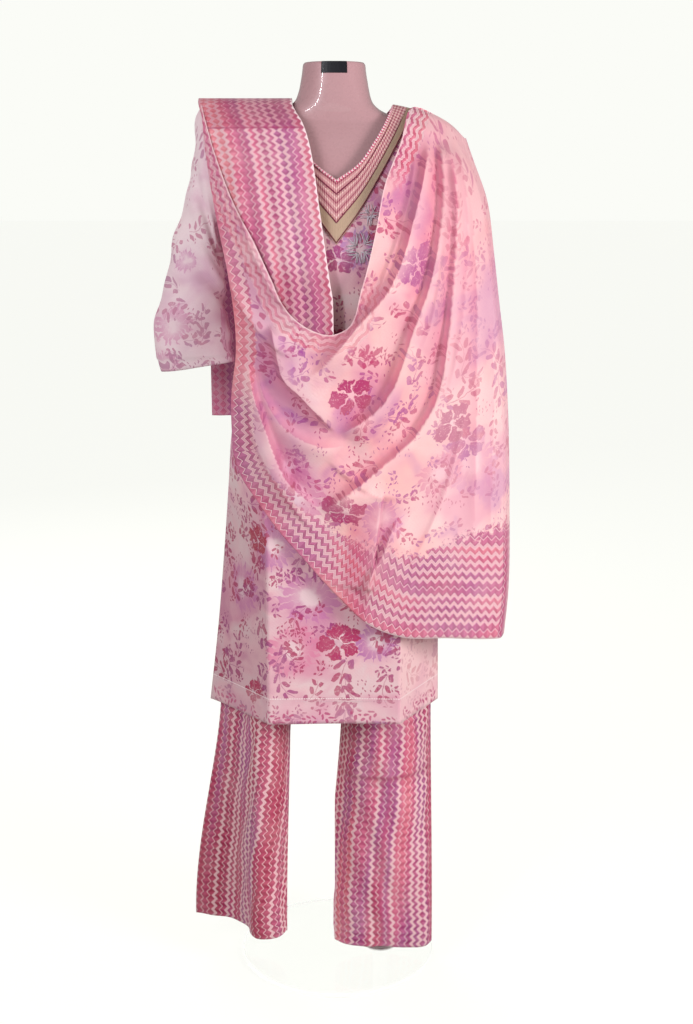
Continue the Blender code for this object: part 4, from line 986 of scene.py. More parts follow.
def floralColour(flat, look):
    # ground in watercolour washes, soft daisies, then stencilled hibiscus, leaf sprays and dashes; look is
    # below
    clouds = useGroup("dyeClouds", Vector=flat, Scale=look["cloudScale"], Seed=look["seed"])
    colour = mixed(remap(clouds["Second"], 0.38, 0.62), look["ground"], look["groundTwo"])
    colour = mixed(remap(clouds["Wash"], look["washFrom"], look["washTo"]), colour, look["wash"])
    deep = remap(clouds["Wash"] * clouds["Second"], 0.27, 0.38, 0.0, look["deepShare"])
    colour = mixed(deep, colour, look["deep"])
    colour = mixed(remap(clouds["Grain"], 0.35, 0.75, 0.0, 0.22), colour, look["wash"])

    ink = mixed(remap(clouds["Second"], 0.4, 0.6), look["ink"], look["inkTwo"])
    worn = remap(noise(flat, 230.0, 3.0, 0.7), 0.66, 0.56, 0.45, 1.0)

    def softDaisy(colour, flower, shade):
        # a halo, rays of colour that deepen outwards, and a pale eye
        halo = remap(flower["Reach"], 1.35, 0.5, 0.0, 0.3)
        colour = mixed(halo, colour, shade)
        tips = remap(flower["Reach"], 0.3, 0.85, 0.35, 1.0)
        rays = flower["Petal"] * (flower["Veins"] * -0.75 + 1.0)
        rays = rays * tips
        colour = mixed(rays * look["daisyShare"], colour, shade)
        eye = remap(flower["Reach"], 0.46, 0.16, 0.0, 0.8)
        return mixed(eye, colour, look["daisyEye"])

    def stencil(colour, flower, shade):
        # crisp petals with pale gaps between them and a pale eye
        cut = calc("SUBTRACT", flower["Petal"], flower["Veins"] + flower["Centre"], clamp=True)
        white = flower["Petal"] * 0.6
        colour = mixed(white, colour, look["daisyEye"])
        return mixed(cut * worn, colour, shade)

    for scale, density, size, seed, count in look["daisies"]:
        daisy = useGroup("strewnFlowers", Vector=flat, Scale=scale, Size=size, Petals=count, Sharp=0.5,
                         Density=density, Seed=look["seed"] + seed)
        colour = softDaisy(colour, daisy, mixed(daisy["Chance"], look["daisy"], look["daisyTwo"]))
    for x, y, size, count, shade in look["placedDaisies"]:
        daisy = useGroup("flowerMark", Vector=flat, X=x, Y=y, Size=size, Petals=count, Sharp=0.5, Turn=0.2)
        colour = softDaisy(colour, daisy, shade)
    for scale, density, size, seed, leaves in look["sprays"]:
        sprays = useGroup("leafSprays", Vector=flat, Scale=scale, Density=density, Size=size,
                          Leaves=leaves, Seed=look["seed"] + seed)
        colour = mixed(sprays["Stem"] * 0.6, colour, ink)
        colour = mixed(sprays["Leaf"] * (worn * look["inkShare"]), colour, ink)
    for scale, density, size, seed, count in look["hibiscus"]:
        bloom = useGroup("strewnFlowers", Vector=flat, Scale=scale, Size=size, Petals=count, Sharp=0.3,
                         Density=density, Seed=look["seed"] + seed)
        colour = stencil(colour, bloom, ink)
    for x, y, size, turn, shade in look["placedHibiscus"]:
        bloom = useGroup("flowerMark", Vector=flat, X=x, Y=y, Size=size, Petals=5.0, Sharp=0.3, Turn=turn)
        colour = stencil(colour, bloom, shade)
    dashes = useGroup("printedDashes", Vector=flat, Scale=look["dashScale"], Seed=look["seed"])
    return mixed(dashes["Dash"] * look["inkShare"], colour, ink)


kurtaLook = {
    "cloudScale": 7.0, "seed": 1.7, "washFrom": 0.46, "washTo": 0.66, "deepShare": 0.4,
    "ground": tone(230, 202, 206), "groundTwo": tone(234, 188, 196), "wash": tone(222, 156, 178),
    "deep": tone(188, 112, 156), "ink": tone(176, 50, 98), "inkTwo": tone(164, 66, 128), "inkShare": 0.85,
    "daisy": tone(218, 126, 164), "daisyTwo": tone(190, 116, 176), "daisyEye": tone(238, 210, 216),
    "daisyShare": 0.85, "dashScale": 150.0, "daisies": [(8.0, 0.45, 0.4, 6.9, 17.0)],
    "sprays": [(14.0, 0.65, 0.4, 2.3, 1.6), (20.0, 0.6, 0.42, 8.1, 1.5), (31.0, 0.45, 0.42, 5.2, 1.3)],
    "hibiscus": [(12.0, 0.2, 0.3, 3.3, 5.0)],
    "placedDaisies": [(-0.065, 0.587, 0.046, 19.0, tone(222, 132, 166)),
        (0.066, 0.602, 0.036, 17.0, tone(184, 106, 168)),
        (-0.092, 0.756, 0.04, 17.0, tone(190, 114, 170)),
        (0.034, 1.216, 0.034, 17.0, tone(170, 112, 178))],
    "placedHibiscus": [(0.008, 0.6, 0.034, 0.6, tone(180, 50, 100)),
        (-0.133, 0.761, 0.028, 0.9, tone(176, 40, 76)), (-0.146, 0.51, 0.022, 0.3, tone(184, 46, 92))],
}
# the sleeves' look: a sparser print, with its grounds and colours lighter and the whole mixed towards pale
# pink as painted light for the lit sleeves
sleeveLook = {
    **kurtaLook, "seed": 4.4, "paintedLightShare": 0.24, "ground": tone(240, 218, 222),
    "groundTwo": tone(236, 206, 214), "wash": tone(220, 166, 190), "deep": tone(190, 122, 164),
    "ink": tone(184, 66, 118), "placedDaisies": [(-0.241, 1.091, 0.034, 17.0, tone(206, 116, 162)),
        (-0.256, 1.03, 0.022, 15.0, tone(206, 116, 162)),
        (-0.215, 1.19, 0.02, 15.0, tone(204, 124, 170))], "placedHibiscus": [],
    "daisies": [(9.0, 0.3, 0.36, 6.9, 17.0)], "hibiscus": [],
    "sprays": [(14.0, 0.5, 0.42, 2.3, 1.8), (22.0, 0.5, 0.42, 8.1, 1.5)],
}
dupattaLook = {
    "cloudScale": 6.0, "seed": 9.2, "washFrom": 0.44, "washTo": 0.62, "deepShare": 0.6,
    "ground": tone(248, 208, 206), "groundTwo": tone(252, 190, 188), "wash": tone(234, 164, 182),
    "deep": tone(190, 112, 172), "ink": tone(196, 70, 116), "inkTwo": tone(178, 80, 154), "inkShare": 0.8,
    "daisy": tone(228, 136, 168), "daisyTwo": tone(202, 128, 180), "daisyEye": tone(248, 208, 214),
    "daisyShare": 0.75, "dashScale": 140.0, "daisies": [(7.0, 0.45, 0.38, 6.9, 17.0)],
    "sprays": [(13.0, 0.6, 0.38, 2.3, 1.6), (18.0, 0.55, 0.42, 8.1, 1.5), (28.0, 0.45, 0.42, 5.2, 1.3)],
    "hibiscus": [(10.0, 0.2, 0.28, 3.3, 5.0)],
    "placedDaisies": [(0.106, 0.927, 0.04, 19.0, tone(226, 138, 166)),
        (-0.127, 0.936, 0.034, 17.0, tone(216, 128, 164))],
    "placedHibiscus": [(-0.035, 1.054, 0.034, 0.5, tone(186, 66, 116)),
        (0.125, 1.005, 0.034, 0.1, tone(184, 70, 120)), (-0.046, 0.88, 0.03, 0.9, tone(190, 72, 122)),
        (0.06, 1.251, 0.034, 0.3, tone(178, 84, 150))],
}


def makeFloral(name, look, threads=1100.0):
    made, shader = newFinish(name)
    flat = mapOf()
    colour = floralColour(flat, look)
    # painted light: the whole cloth mixed towards pale pink by a share that the look gives
    colour = mixed(look.get("paintedLightShare", 0.0), colour, tone(246, 224, 238))
    clothShading(shader, flat, colour, threads)
    return made


def makeKurtaPrint():
    # the strewn floral with a plain band at the hem: leaf dashes over a stitched line
    made, shader = newFinish("kurtaFloral")
    flat = mapOf()
    colour = floralColour(flat, kurtaLook)
    x, y, _ = axes(flat)
    # only the front is pressed into facets; its right facet is painted lighter as painted light and its left
    # facet darker as painted shade
    depth = axes(objectPlace())[1]
    pressed = remap(y, 0.9, 0.74) * remap(depth, 0.002, 0.001)
    # painted light on the right facet
    facet = remap(x, 0.103, 0.107, 0.0, 0.5) * pressed
    colour = mixed(facet, colour, tone(255, 212, 212))
    # painted shade on the left facet
    shaded = remap(x, -0.107, -0.11) * pressed
    colour = mixed(shaded, colour, tone(236, 228, 232), "MULTIPLY")
    bandTop = kurtaHem + 0.0425
    band = remap(y, bandTop + 0.001, bandTop, 0.0, 0.22)
    colour = mixed(band, colour, tone(238, 196, 206))
    line = abs(y - bandTop)
    dash = calc("GREATER_THAN", calc("FRACT", x * 260.0), 0.35)
    stitched = remap(line, 0.0009, 0.0005) * dash
    colour = mixed(stitched, colour, tone(250, 232, 234))
    edge = useGroup("leafSprays", Vector=flat, Scale=30.0, Density=0.95, Size=0.5, Leaves=1.8, Seed=5.5)
    low = remap(y, kurtaHem + 0.03, kurtaHem + 0.018)
    colour = mixed(edge["Leaf"] * (low * 0.85), colour, tone(188, 74, 122))
    clothShading(shader, flat, colour)
    return made


def makeDupattaPrint():
    # floral field, a wide zigzag border on the left and lower edges, and a thin one on the cowl's edge
    made, shader = newFinish("dupattaFloral", 0.7)
    flat = mapOf()
    colour = floralColour(flat, dupattaLook)
    sideways, _, high = axes(objectPlace())
    # painted shade: the left side is multiplied cooler and darker
    paintedLeftShade = remap(sideways, -0.07, 0.02, 1.0, 0.0)
    colour = mixed(paintedLeftShade, colour, tone(232, 243, 255), "MULTIPLY")
    # painted light: the right side is made paler, most towards the shoulder
    pale = remap(sideways, 0.08, 0.17, 0.0, 0.22)
    upper = remap(high, 1.1, 1.24)
    pale = pale * (upper * 0.9 + 1.0)
    colour = mixed(pale, colour, mixed(upper, tone(246, 228, 230), tone(226, 158, 176)))
    zone = axes(mapOf("borderZone"))
    border = mapOf("borderMap")
    gap, place, _ = axes(border)
    drift = remap(noise(joined(place * 1.4, gap), 3.2, 1.0), 0.3, 0.7, 0.4, 1.0)
    zigzag = zigzagColour(border, drift, pitch=0.0136, wave=0.013, mirror=0.08, wide=0.75, seed=3.0)
    zigzag = mixed(0.22, zigzag, tone(222, 154, 178))
    speckled = noise(flat, 90.0, 3.0, 0.7)
    rough = (speckled - 0.5) * 0.55 + zone[0]
    inBorder = remap(rough, 1.03, 0.95)
    colour = mixed(inBorder, colour, zigzag)
    cowl = mapOf("cowlMap")
    thin = zigzagColour(cowl, 0.8, pitch=0.0095, wave=0.013, mirror=0.2, wide=0.9, seed=5.0)
    roughTwo = (speckled - 0.5) * 0.5 + zone[1]
    shown = axes(mapOf("cowlShare"))[0]
    colour = mixed(remap(roughTwo, 1.0, 0.9) * shown, colour, thin)
    side = mapOf("sideMap")
    sideGap = axes(side)[0]
    thinSide = zigzagColour(side, 0.5, pitch=0.01, wave=0.013, mirror=0.4, wide=0.7, seed=11.0)
    sideShare = remap(high, 0.72, 0.8, 1.0, 0.18)
    colour = mixed(remap(sideGap, 0.055, 0.052) * sideShare, colour, thinSide)
    # painted shade in the fold valleys and painted highlight on the fold crests
    valleyShade, crestHighlight, _ = axes(mapOf("paintedFoldShading"))
    colour = mixed(valleyShade * 0.85, colour, tone(222, 112, 170), "MULTIPLY")
    colour = mixed(crestHighlight * 0.45, colour, tone(255, 206, 208))
    hem = remap(calc("MINIMUM", gap, axes(cowl)[0]), 0.0022, 0.0014)
    colour = mixed(hem * 0.7, colour, tone(248, 216, 222))
    clothShading(shader, flat, colour, depth=0.00025)
    return made


def makeFormGloss():
    made, shader = newFinish("skinToneGloss", 0.3)
    place = objectPlace()
    mottled = noise(place, 22.0, 3.0)
    plug(shader.inputs["Base Color"], mixed(mottled, tone(184, 140, 146), tone(192, 150, 156)))
    plug(shader.inputs["Roughness"], remap(noise(place, 160.0, 3.0), 0.3, 0.7, 0.24, 0.34))
    shader.inputs["Coat Weight"].default_value = 0.8
    shader.inputs["Coat Roughness"].default_value = 0.03
    addBump(shader, noise(place, 14.0, 2.0), 0.0003, 0.12)
    return made


def makeGrained(name, scale, detail, dark, light, smoothest, roughest):
    # a plain hard finish with a grain in its colour and roughness
    made, shader = newFinish(name)
    grain = noise(objectPlace(), scale, detail)
    fill(shader, {"Base Color": mixed(grain, dark, light),
                  "Roughness": remap(grain, 0.3, 0.7, smoothest, roughest)})
    return made


def makeRibbed():
    # gathered cotton of the waistband: upright ribs all round
    made, shader = newFinish("ribbedCotton", 0.85)
    place = objectPlace()
    x, y, z = axes(place)
    turn = calc("ARCTAN2", y, x)
    ribs = calc("SINE", turn * 150.0)
    weave = noise(place, 700.0, 2.0)
    # painted shade: darker in the grooves between the ribs, lighter on their tops
    colour = mixed(remap(ribs, -1.0, 1.0), tone(196, 88, 128), tone(220, 122, 152))
    plug(shader.inputs["Base Color"], mixed(weave * 0.4, colour, tone(240, 190, 200)))
    addBump(shader, ribs + weave, 0.0008)
    plug(shader.inputs["Roughness"], remap(weave, 0.3, 0.7, 0.75, 0.9))
    return made


def makeGlass():
    made, shader = newFinish("clearPlate", 0.04)
    shader.inputs["Base Color"].default_value = (1.0, 1.0, 1.0, 1)
    shader.inputs["Transmission Weight"].default_value = 1.0
    shader.inputs["IOR"].default_value = 1.46
    place = objectPlace()
    plug(shader.inputs["Roughness"], remap(noise(place, 30.0, 3.0), 0.45, 0.75, 0.02, 0.06))
    return made


def makeTrimGold():
    # across the border: rose floral band, beaded brocade, then greenish gold tape
    made, shader = newFinish("trimRibbon", 0.5)
    flat = mapOf()
    x, y, _ = axes(flat)
    metres = joined(x * 0.036, y)
    across = abs(calc("FRACT", x / 0.147) - 0.5)
    along = abs(calc("FRACT", y / 0.0062) - 0.5)
    near, far = (calc("MINIMUM", across, along), calc("MAXIMUM", across, along))
    cross = remap(near, 0.11, 0.07) * remap(far, 0.4, 0.34)
    dots = remap(across + along, 0.78, 0.86)
    rose = mixed(noise(metres, 260.0, 2.0), tone(198, 130, 142), tone(226, 176, 172))
    rose = mixed(dots, rose, tone(250, 230, 222))
    rose = mixed(cross, rose, tone(150, 44, 84))
    gold = mixed(noise(metres, 320.0, 3.0), tone(196, 160, 140), tone(170, 146, 122))
    ribs = calc("SINE", y * 2600.0)
    # painted highlight: the gold tape lighter on the tops of its ribs
    gold = mixed(remap(ribs, -0.5, 0.9, 0.0, 0.45), gold, tone(212, 190, 164))
    colour = mixed(remap(x, 0.655, 0.665), rose, gold)
    plug(shader.inputs["Base Color"], colour)
    plug(shader.inputs["Roughness"], remap(ribs, -1.0, 1.0, 0.38, 0.62))
    addBump(shader, cross + ribs * 0.3, 0.0006, 0.6)
    return made


def makePiping():
    # pink and white zigzag piping
    made, shader = newFinish("zigzagPiping", 0.7)
    flat = mapOf()
    x, y, _ = axes(flat)
    swing = calc("PINGPONG", x / 0.0054, 0.5)
    band = calc("FRACT", y / 0.0052 + swing)
    colour = mixed(remap(band, 0.42, 0.52), tone(206, 84, 124), tone(246, 218, 222))
    plug(shader.inputs["Base Color"], colour)
    addBump(shader, noise(flat, 900.0, 2.0), 0.0003)
    return made


def makeBeadGold():
    made, shader = newFinish("beadGold", 0.25, 0.6)
    place = objectPlace()
    chance = noise(place, 90.0, 2.0)
    plug(shader.inputs["Base Color"],
         ramp(chance, (0.4, tone(226, 186, 150)), (0.52, tone(240, 206, 206)), (0.6, tone(190, 96, 120))))
    plug(shader.inputs["Roughness"], remap(noise(place, 300.0, 2.0), 0.3, 0.7, 0.2, 0.4))
    return made


def makeThread(name, dark, light, roughness=0.6):
    # twisted thread: slanting bands along the cord
    made, shader = newFinish(name, roughness)
    x, y, _ = axes(mapOf())
    twist = calc("SINE", (x + y) * 2400.0)
    # painted shade: the thread darker in the grooves of its twist
    plug(shader.inputs["Base Color"], mixed(remap(twist, -1.0, 1.0), dark, light))
    addBump(shader, twist, 0.0003, 0.6)
    return made


kurtaPrint, sleevePrint = makeKurtaPrint(), makeFloral("sleeveFloral", sleeveLook)
trouserPrint, endPrint = makeTrouserPrint(), makeEndPrint()
dupattaPrint, fallPrint = makeDupattaPrint(), makeFloral("dupattaFallFloral", dupattaLook)
formGloss, clearGlass, ribbedCotton = makeFormGloss(), makeGlass(), makeRibbed()
blackPlastic = makeGrained("blackSocket", 900.0, 2.0, tone(10, 10, 18), tone(20, 19, 30), 0.3, 0.5)
whiteEnamel = makeGrained("whiteEnamel", 60.0, 3.0, tone(236, 238, 238), tone(250, 250, 248), 0.22, 0.4)
trimGold = makeTrimGold()
pipingThread, beadGold = makePiping(), makeBeadGold()
paleThread = makeThread("paleThread", tone(222, 208, 226), tone(250, 244, 250))
maroonThread = makeThread("maroonThread", tone(96, 26, 52), tone(140, 54, 82))
print("finishes ready")


def onlySelect(*pieces):
    bpy.ops.object.select_all(action="DESELECT")
    for piece in pieces:
        piece.select_set(True)
    bpy.context.view_layer.objects.active = pieces[0]


def arcs(points, axis):
    # distance run along the rows (axis 1) or the columns (axis 0) of a grid of points
    steps = np.linalg.norm(np.diff(points, axis=axis), axis=-1)
    start = np.zeros_like(np.take(steps, [0], axis=axis))
    return np.concatenate([start, np.cumsum(steps, axis=axis)], axis=axis)


def giveMap(mesh, name, values):
    # a UV map in metres, from one (u, v) for each vertex
    layer = mesh.uv_layers.get(name) or mesh.uv_layers.new(name=name)
    corners = np.zeros(len(mesh.loops), int)
    mesh.loops.foreach_get("vertex_index", corners)
    layer.data.foreach_set("uv", values.reshape(-1, 2)[corners].astype(np.float32).ravel())


def clothGrid(name, points, outward, maps):
    # a grid primitive whose vertices move to the given rows and columns of points
    facing = np.cross(np.gradient(points, axis=1), np.gradient(points, axis=0))
    if (facing * np.asarray(outward)).sum() < 0:
        points = points[:, ::-1]
        maps = {key: value[:, ::-1] for key, value in maps.items()}
    rows, columns = points.shape[:2]
    bpy.ops.object.select_all(action="DESELECT")
    bpy.ops.mesh.primitive_grid_add(x_subdivisions=columns - 1, y_subdivisions=rows - 1, size=1)
    piece = bpy.context.object
    piece.name = piece.data.name = name
    piece.data.vertices.foreach_set("co", np.ascontiguousarray(points, np.float32).ravel())
    for key, value in maps.items():
        giveMap(piece.data, key, value)
    piece.data.update()
    return piece


def editWhole(piece, action, **values):
    onlySelect(piece)
    bpy.ops.object.mode_set(mode="EDIT")
    bpy.ops.mesh.select_all(action="SELECT")
    action(**values)
    bpy.ops.object.mode_set(mode="OBJECT")


def closeSeams(piece):
    editWhole(piece, bpy.ops.mesh.remove_doubles, threshold=0.00002)


def joinPieces(name, *pieces):
    onlySelect(*pieces)
    if len(pieces) > 1:
        bpy.ops.object.join()
    made = bpy.context.object
    made.name = made.data.name = name
    return made


def giveWall(piece, wall):
    onlySelect(piece)
    solid = piece.modifiers.new("Wall", "SOLIDIFY")
    solid.thickness = wall
    solid.offset = -1.0
    bpy.ops.object.modifier_apply(modifier="Wall")
    bpy.ops.object.shade_smooth()


def setPiece(piece, finish, slotName, *nodes):
    # the finish, the body it rides on, and the frame's nodes that it stands for
    if finish is not None:
        piece.data.materials.clear()
        piece.data.materials.append(finish)
    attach(piece, "root")
    if nodes:
        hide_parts(*nodes)
    return piece


def tubeAlong(name, path, radius, sides=8):
    # a round cord along a path of points, closed at both ends
    path = np.asarray(path, float)
    way = unit(np.gradient(path, axis=0))
    side = unit(np.cross(way, (0.0, 1.0, 0.12)))
    up = np.cross(side, way)
    turn = np.linspace(0, 2 * math.pi, sides + 1)
    ring = np.cos(turn)[None, :, None] * side[:, None] + np.sin(turn)[None, :, None] * up[:, None]
    points = path[:, None] + ring * radius
    points = np.concatenate([path[:1, None] + 0 * ring[:1], points, path[-1:, None] + 0 * ring[-1:]])
    along = runOf(path)
    along = np.concatenate([along[:1], along, along[-1:]])
    flat = np.stack([turn[None] * radius + 0 * along[:, None], along[:, None] + 0 * turn[None]], axis=-1)
    piece = clothGrid(name, points, np.concatenate([ring[:1], ring, ring[-1:]]), {"UVMap": flat})
    closeSeams(piece)
    onlySelect(piece)
    bpy.ops.object.shade_smooth()
    return piece


def spotsAlong(path, start, stop, every):
    # places at even distances along a path, from start to stop short of its end, and its direction there
    run = runOf(path)
    spots = placesAt(path, run, np.arange(start, run[-1] - stop, every))
    return spots, np.gradient(spots, axis=0)


def copies(name, model, places, ways, ups, sizes):
    # one piece from copies of a small model, its X along ways and its Z along ups, in metres
    corners = np.array([vertex.co for vertex in model.data.vertices])
    made = []
    for place, way, up, size in zip(places, ways, ups, sizes):
        x = way / np.linalg.norm(way)
        y = np.cross(up, x)
        y = y / np.linalg.norm(y)
        turned = (corners[:, :1] * x + corners[:, 1:2] * y + corners[:, 2:] * np.cross(x, y)) * size + place
        mesh = model.data.copy()
        mesh.vertices.foreach_set("co", turned.astype(np.float32).ravel())
        piece = bpy.data.objects.new(name, mesh)
        bpy.context.collection.objects.link(piece)
        made.append(piece)
    bpy.data.objects.remove(model)
    whole = joinPieces(name, *made)
    bpy.ops.object.shade_smooth()
    return whole


kurtaFit = {"columns": 66, "rows": 190, "wall": 0.0011, "frontCut": (0.51, 1.01), "backCut": (0.49, 1.00),
            "frontArea": 0.44, "backArea": 0.417}


def kurtaPanel(side, face, edgeRows):
    # one half of the front or back, from the hem up, with its map in metres
    low = np.linspace(kurtaHem, armpitHeight, int(kurtaFit["rows"] * 0.72))
    high = np.linspace(armpitHeight, shoulderHeight, int(kurtaFit["rows"] * 0.28))[1:]
    tip = vTip if face < 0 else backNeckTip
    heights = np.unique(np.concatenate([low, high, [tip, tip + 0.0005, 1.4262, 1.4274]]))
    t = np.linspace(0, 1, kurtaFit["columns"])[None, :]
    h = heights[:, None] + 0 * t
    share = neckShare(side, h, edgeRows) + (seamShare(side, h) - neckShare(side, h, edgeRows)) * t
    points = kurta(side, face, share, h)
    fine = np.linspace(0, 1, 160)
    reach = arcs(kurta(side, face, fine + 0 * h[:, :1], h[:, :1] + 0 * fine), 1)
    across = np.stack([np.interp(share[k], fine, reach[k]) for k in range(len(heights))])
    middle = kurta(side, face, np.full(len(heights), 0.3), heights)[:, None]
    up = arcs(middle, 0) + kurtaHem
    flat = np.stack([side * across * (1 if face < 0 else -1), up + 0 * across], axis=-1)
    return points, flat


def kurtaCreases(points):
    # pressed hem fold, sewn hem ridge, slack across the waist and pulls from the crease lines
    x, z = points[..., 0], points[..., 2]
    hem = 0.0010 * np.exp(-((z - 0.508) / 0.0035) ** 2) - 0.0009 * np.exp(-((z - 0.5005) / 0.003) ** 2)
    slack = 0.0022 * np.sin(x * 26 + z * 9) * smooth((0.62 - z) / 0.2)
    pulls = 0.0016 * np.sin(z * 42 + 6 * np.sin(x * 11)) * smooth((z - 0.62) / 0.2) * smooth((1.2 - z) / 0.2)
    return hem + slack + pulls


def makeKurta():
    for name, face, edgeRows, node in (("kurtaFront", -1, vNeck, "kurta_front"),
                                       ("kurtaBack", 1, backNeck, "kurta_back")):
        halves = []
        for side in (-1, 1):
            points, flat = kurtaPanel(side, face, edgeRows)
            fade = smooth((np.abs(points[..., 1]) - 0.004) / 0.03)
            points[..., 1] += face * kurtaCreases(points) * fade
            halves.append(clothGrid(name + str(side), points, (0, face, 0), {"UVMap": flat}))
        piece = joinPieces(name, *halves)
        closeSeams(piece)
        giveWall(piece, kurtaFit["wall"])
        setPiece(piece, kurtaPrint, "kurta_print", node)
        kind = "front" if face < 0 else "back"
        kurtaFit[kind + "Cut"]
        kurtaFit[kind + "Area"]
    print("kurta made")


sleeveFit = {"rows": 120, "around": 121, "wall": 0.0011, "cuff": (0.955, 0.968), "leftCut": (0.31, 0.43),
             "rightCut": (0.22, 0.41), "leftArea": 0.096, "rightArea": 0.069}


def makeSleeves():
    for name, side, outer, inner, fall, node, kind in (
        ("sleeveLeft", -1, leftSleeveOuter, leftSleeveInner, 0.06, "sleeve_left", "left"),
        ("sleeveRight", 1, rightSleeveOuter, rightSleeveInner, 0.16, "sleeve_right", "right"),
    ):
        rings = sleeveGrid(side, outer, inner, fall, sleeveFit["rows"], sleeveFit["around"])
        away = around(rings)
        down = np.linspace(0, 1, len(rings))[:, None]
        turn = np.linspace(0, 2 * math.pi, rings.shape[1])[None, :]
        fade = smooth((down - 0.12) / 0.15)
        slack = (0.0030 * np.sin(2 * turn + 7 * down) * np.sin(down * 19 + 1.2)
                 + 0.0016 * np.sin(3 * turn - 12 * down) + 0.0014 * np.sin(down * 46 + 3 * np.sin(turn)))
        fold, stitched = ((down - place) / 0.006 for place in sleeveFit["cuff"])
        cuff = 0.0010 * np.exp(-fold ** 2) - 0.0010 * np.exp(-stitched ** 2)
        rings = rings + unit(away) * (slack * fade + cuff)[..., None]
        rings[:, -1] = rings[:, 0]
        steps = np.hypot(np.diff(rings[..., 0], axis=1), np.diff(rings[..., 1], axis=1))
        across = np.concatenate([0 * steps[:, :1], np.cumsum(steps, axis=1)], axis=1)
        half, middle = rings.shape[0] // 2, rings.shape[1] // 2
        across = across - across[:, middle:middle + 1]
        frontFirst = rings[half, middle // 2, 1] < rings[half, middle + middle // 2, 1]
        across = across * (1 if frontFirst == (side > 0) else -1)
        outerX, outerY = rings[:, middle:middle + 1, 0], rings[:, middle:middle + 1, 1]
        facing = np.clip((outerY - rings[..., 1]) / 0.02, -1, 1)
        flat = np.stack([across + facing * (outerX - outerX.mean()) + outerX.mean(), rings[..., 2]], axis=-1)
        piece = clothGrid(name, rings, away, {"UVMap": flat})
        closeSeams(piece)
        giveWall(piece, sleeveFit["wall"])
        setPiece(piece, sleevePrint, "kurta_print", node)
    print("sleeves made")


trouserFit = {"rows": 170, "columns": 60, "wall": 0.0011, "crease": 0.349, "creaseBow": 0.006}


def makeTrousers():
    for name, side, hem, face, stations, node, cut, area in (
        ("trouserLeftFront", -1, leftHem, -1, leftLegFront, "trouser_left_front", (0.26, 0.96), 0.20),
        ("trouserLeftBack", -1, leftHem, 1, leftLegBack, "trouser_left_back", (0.26, 0.97), 0.207),
        ("trouserRightFront", 1, rightHem, -1, rightLegFront, "trouser_right_front", (0.26, 0.99), 0.205),
        ("trouserRightBack", 1, rightHem, 1, rightLegBack, "trouser_right_back", (0.29, 1.00), 0.222),
    ):
        heights = np.unique(np.concatenate([np.linspace(hem, waistHeight - seamGap, trouserFit["rows"]),
                                            [crotchHeight]]))
        points = legRows(stations, hem, side, face, heights, trouserFit["columns"])
        t = np.linspace(0, 1, trouserFit["columns"])[None, :]
        h = heights[:, None]
        edge = smooth(t / 0.12) * smooth((1 - t) / 0.12)
        knee = smooth((0.62 - h) / 0.2)
        rumple = (0.0016 * np.sin(h * 55 + 5 * np.sin(t * 6)) + 0.0022 * np.sin(h * 17 + t * 8)) * knee
        away = h - trouserFit["crease"] - trouserFit["creaseBow"] * np.abs(2 * t - 1) ** 0.8
        bent = away / 0.006
        dent = 0.0035 * bent * np.exp(-bent ** 2) if side > 0 else 0.0
        sewn = 0.0009 * np.exp(-((h - hem - 0.026) / 0.003) ** 2)
        normals = normalsOf(points, (0, face, 0))
        points = points + normals * ((rumple + dent) * edge + sewn * edge)[..., None]
        across = arcs(points, 1)
        flat = np.stack([side * face * across, h + 0 * across], axis=-1)
        # painted shade at the crease of the right leg's front only: a dark line along it and the shade
        # beside it, for the print
        only = 1.0 if (side > 0 and face < 0) else 0.0
        crease = np.stack([only * np.exp(-(away / 0.0022) ** 2),
                           only * np.exp(-((away + 0.006) / 0.006) ** 2) + only * 0.5 * smooth(away / 0.004)
                           * np.exp(-np.clip(away, 0, 1) / 0.03)], axis=-1)
        points[:, 0] += unit(points[:, 1] - points[:, 0]) * halfGap * 2
        legs = heights < crotchHeight
        points[legs, -1] += unit(points[legs, -2] - points[legs, -1]) * halfGap * 2
        piece = clothGrid(name, points, (0, face, 0), {"UVMap": flat, "paintedFoldShading": crease})
        giveWall(piece, trouserFit["wall"])
        setPiece(piece, trouserPrint, "zigzag_print", node)
    print("trousers made")


dupattaFit = {"columns": 210, "rows": 215, "turned": 8, "endColumns": 90, "endRows": 150, "endWidth": 0.168,
              "fallColumns": 110, "fallRows": 120, "wall": 0.0009, "cut": (0.55, 0.90), "area": 0.328,
              "endCut": (0.16, 0.98), "endArea": 0.144, "fallCut": (0.16, 0.36), "fallArea": 0.043}


def borderMap(points):
    # distance from the long border's edge, which runs down the left side and along the bottom, and the
    # place along it
    line = np.concatenate([route(leftEdge, np.linspace(0, 1, 90)),
                           route(lowerEdge, np.linspace(0, 1, 160))[1:]])
    run = runOf(line)
    x, z = points[..., 0], points[..., 2]
    gap, place = np.full(x.shape, 9.0), np.zeros(x.shape)
    for a, b, start in zip(line[:-1], line[1:], run[:-1]):
        way = b - a
        length = float(np.hypot(*way))
        t = np.clip(((x - a[0]) * way[0] + (z - a[1]) * way[1]) / length**2, 0, 1)
        away = np.hypot(x - a[0] - t * way[0], z - a[1] - t * way[1])
        near = away < gap
        gap = np.where(near, away, gap)
        place = np.where(near, start + t * length, place)
    return gap, place, run


def zoneWidth(place, run):
    # how wide the zigzag border is along its edge
    at = np.array([0.0, 0.25, 0.50, 0.60, 0.72, 0.83, 0.92, 1.0]) * run[-1]
    return np.interp(place, at, [0.030, 0.034, 0.046, 0.058, 0.085, 0.115, 0.160, 0.187])


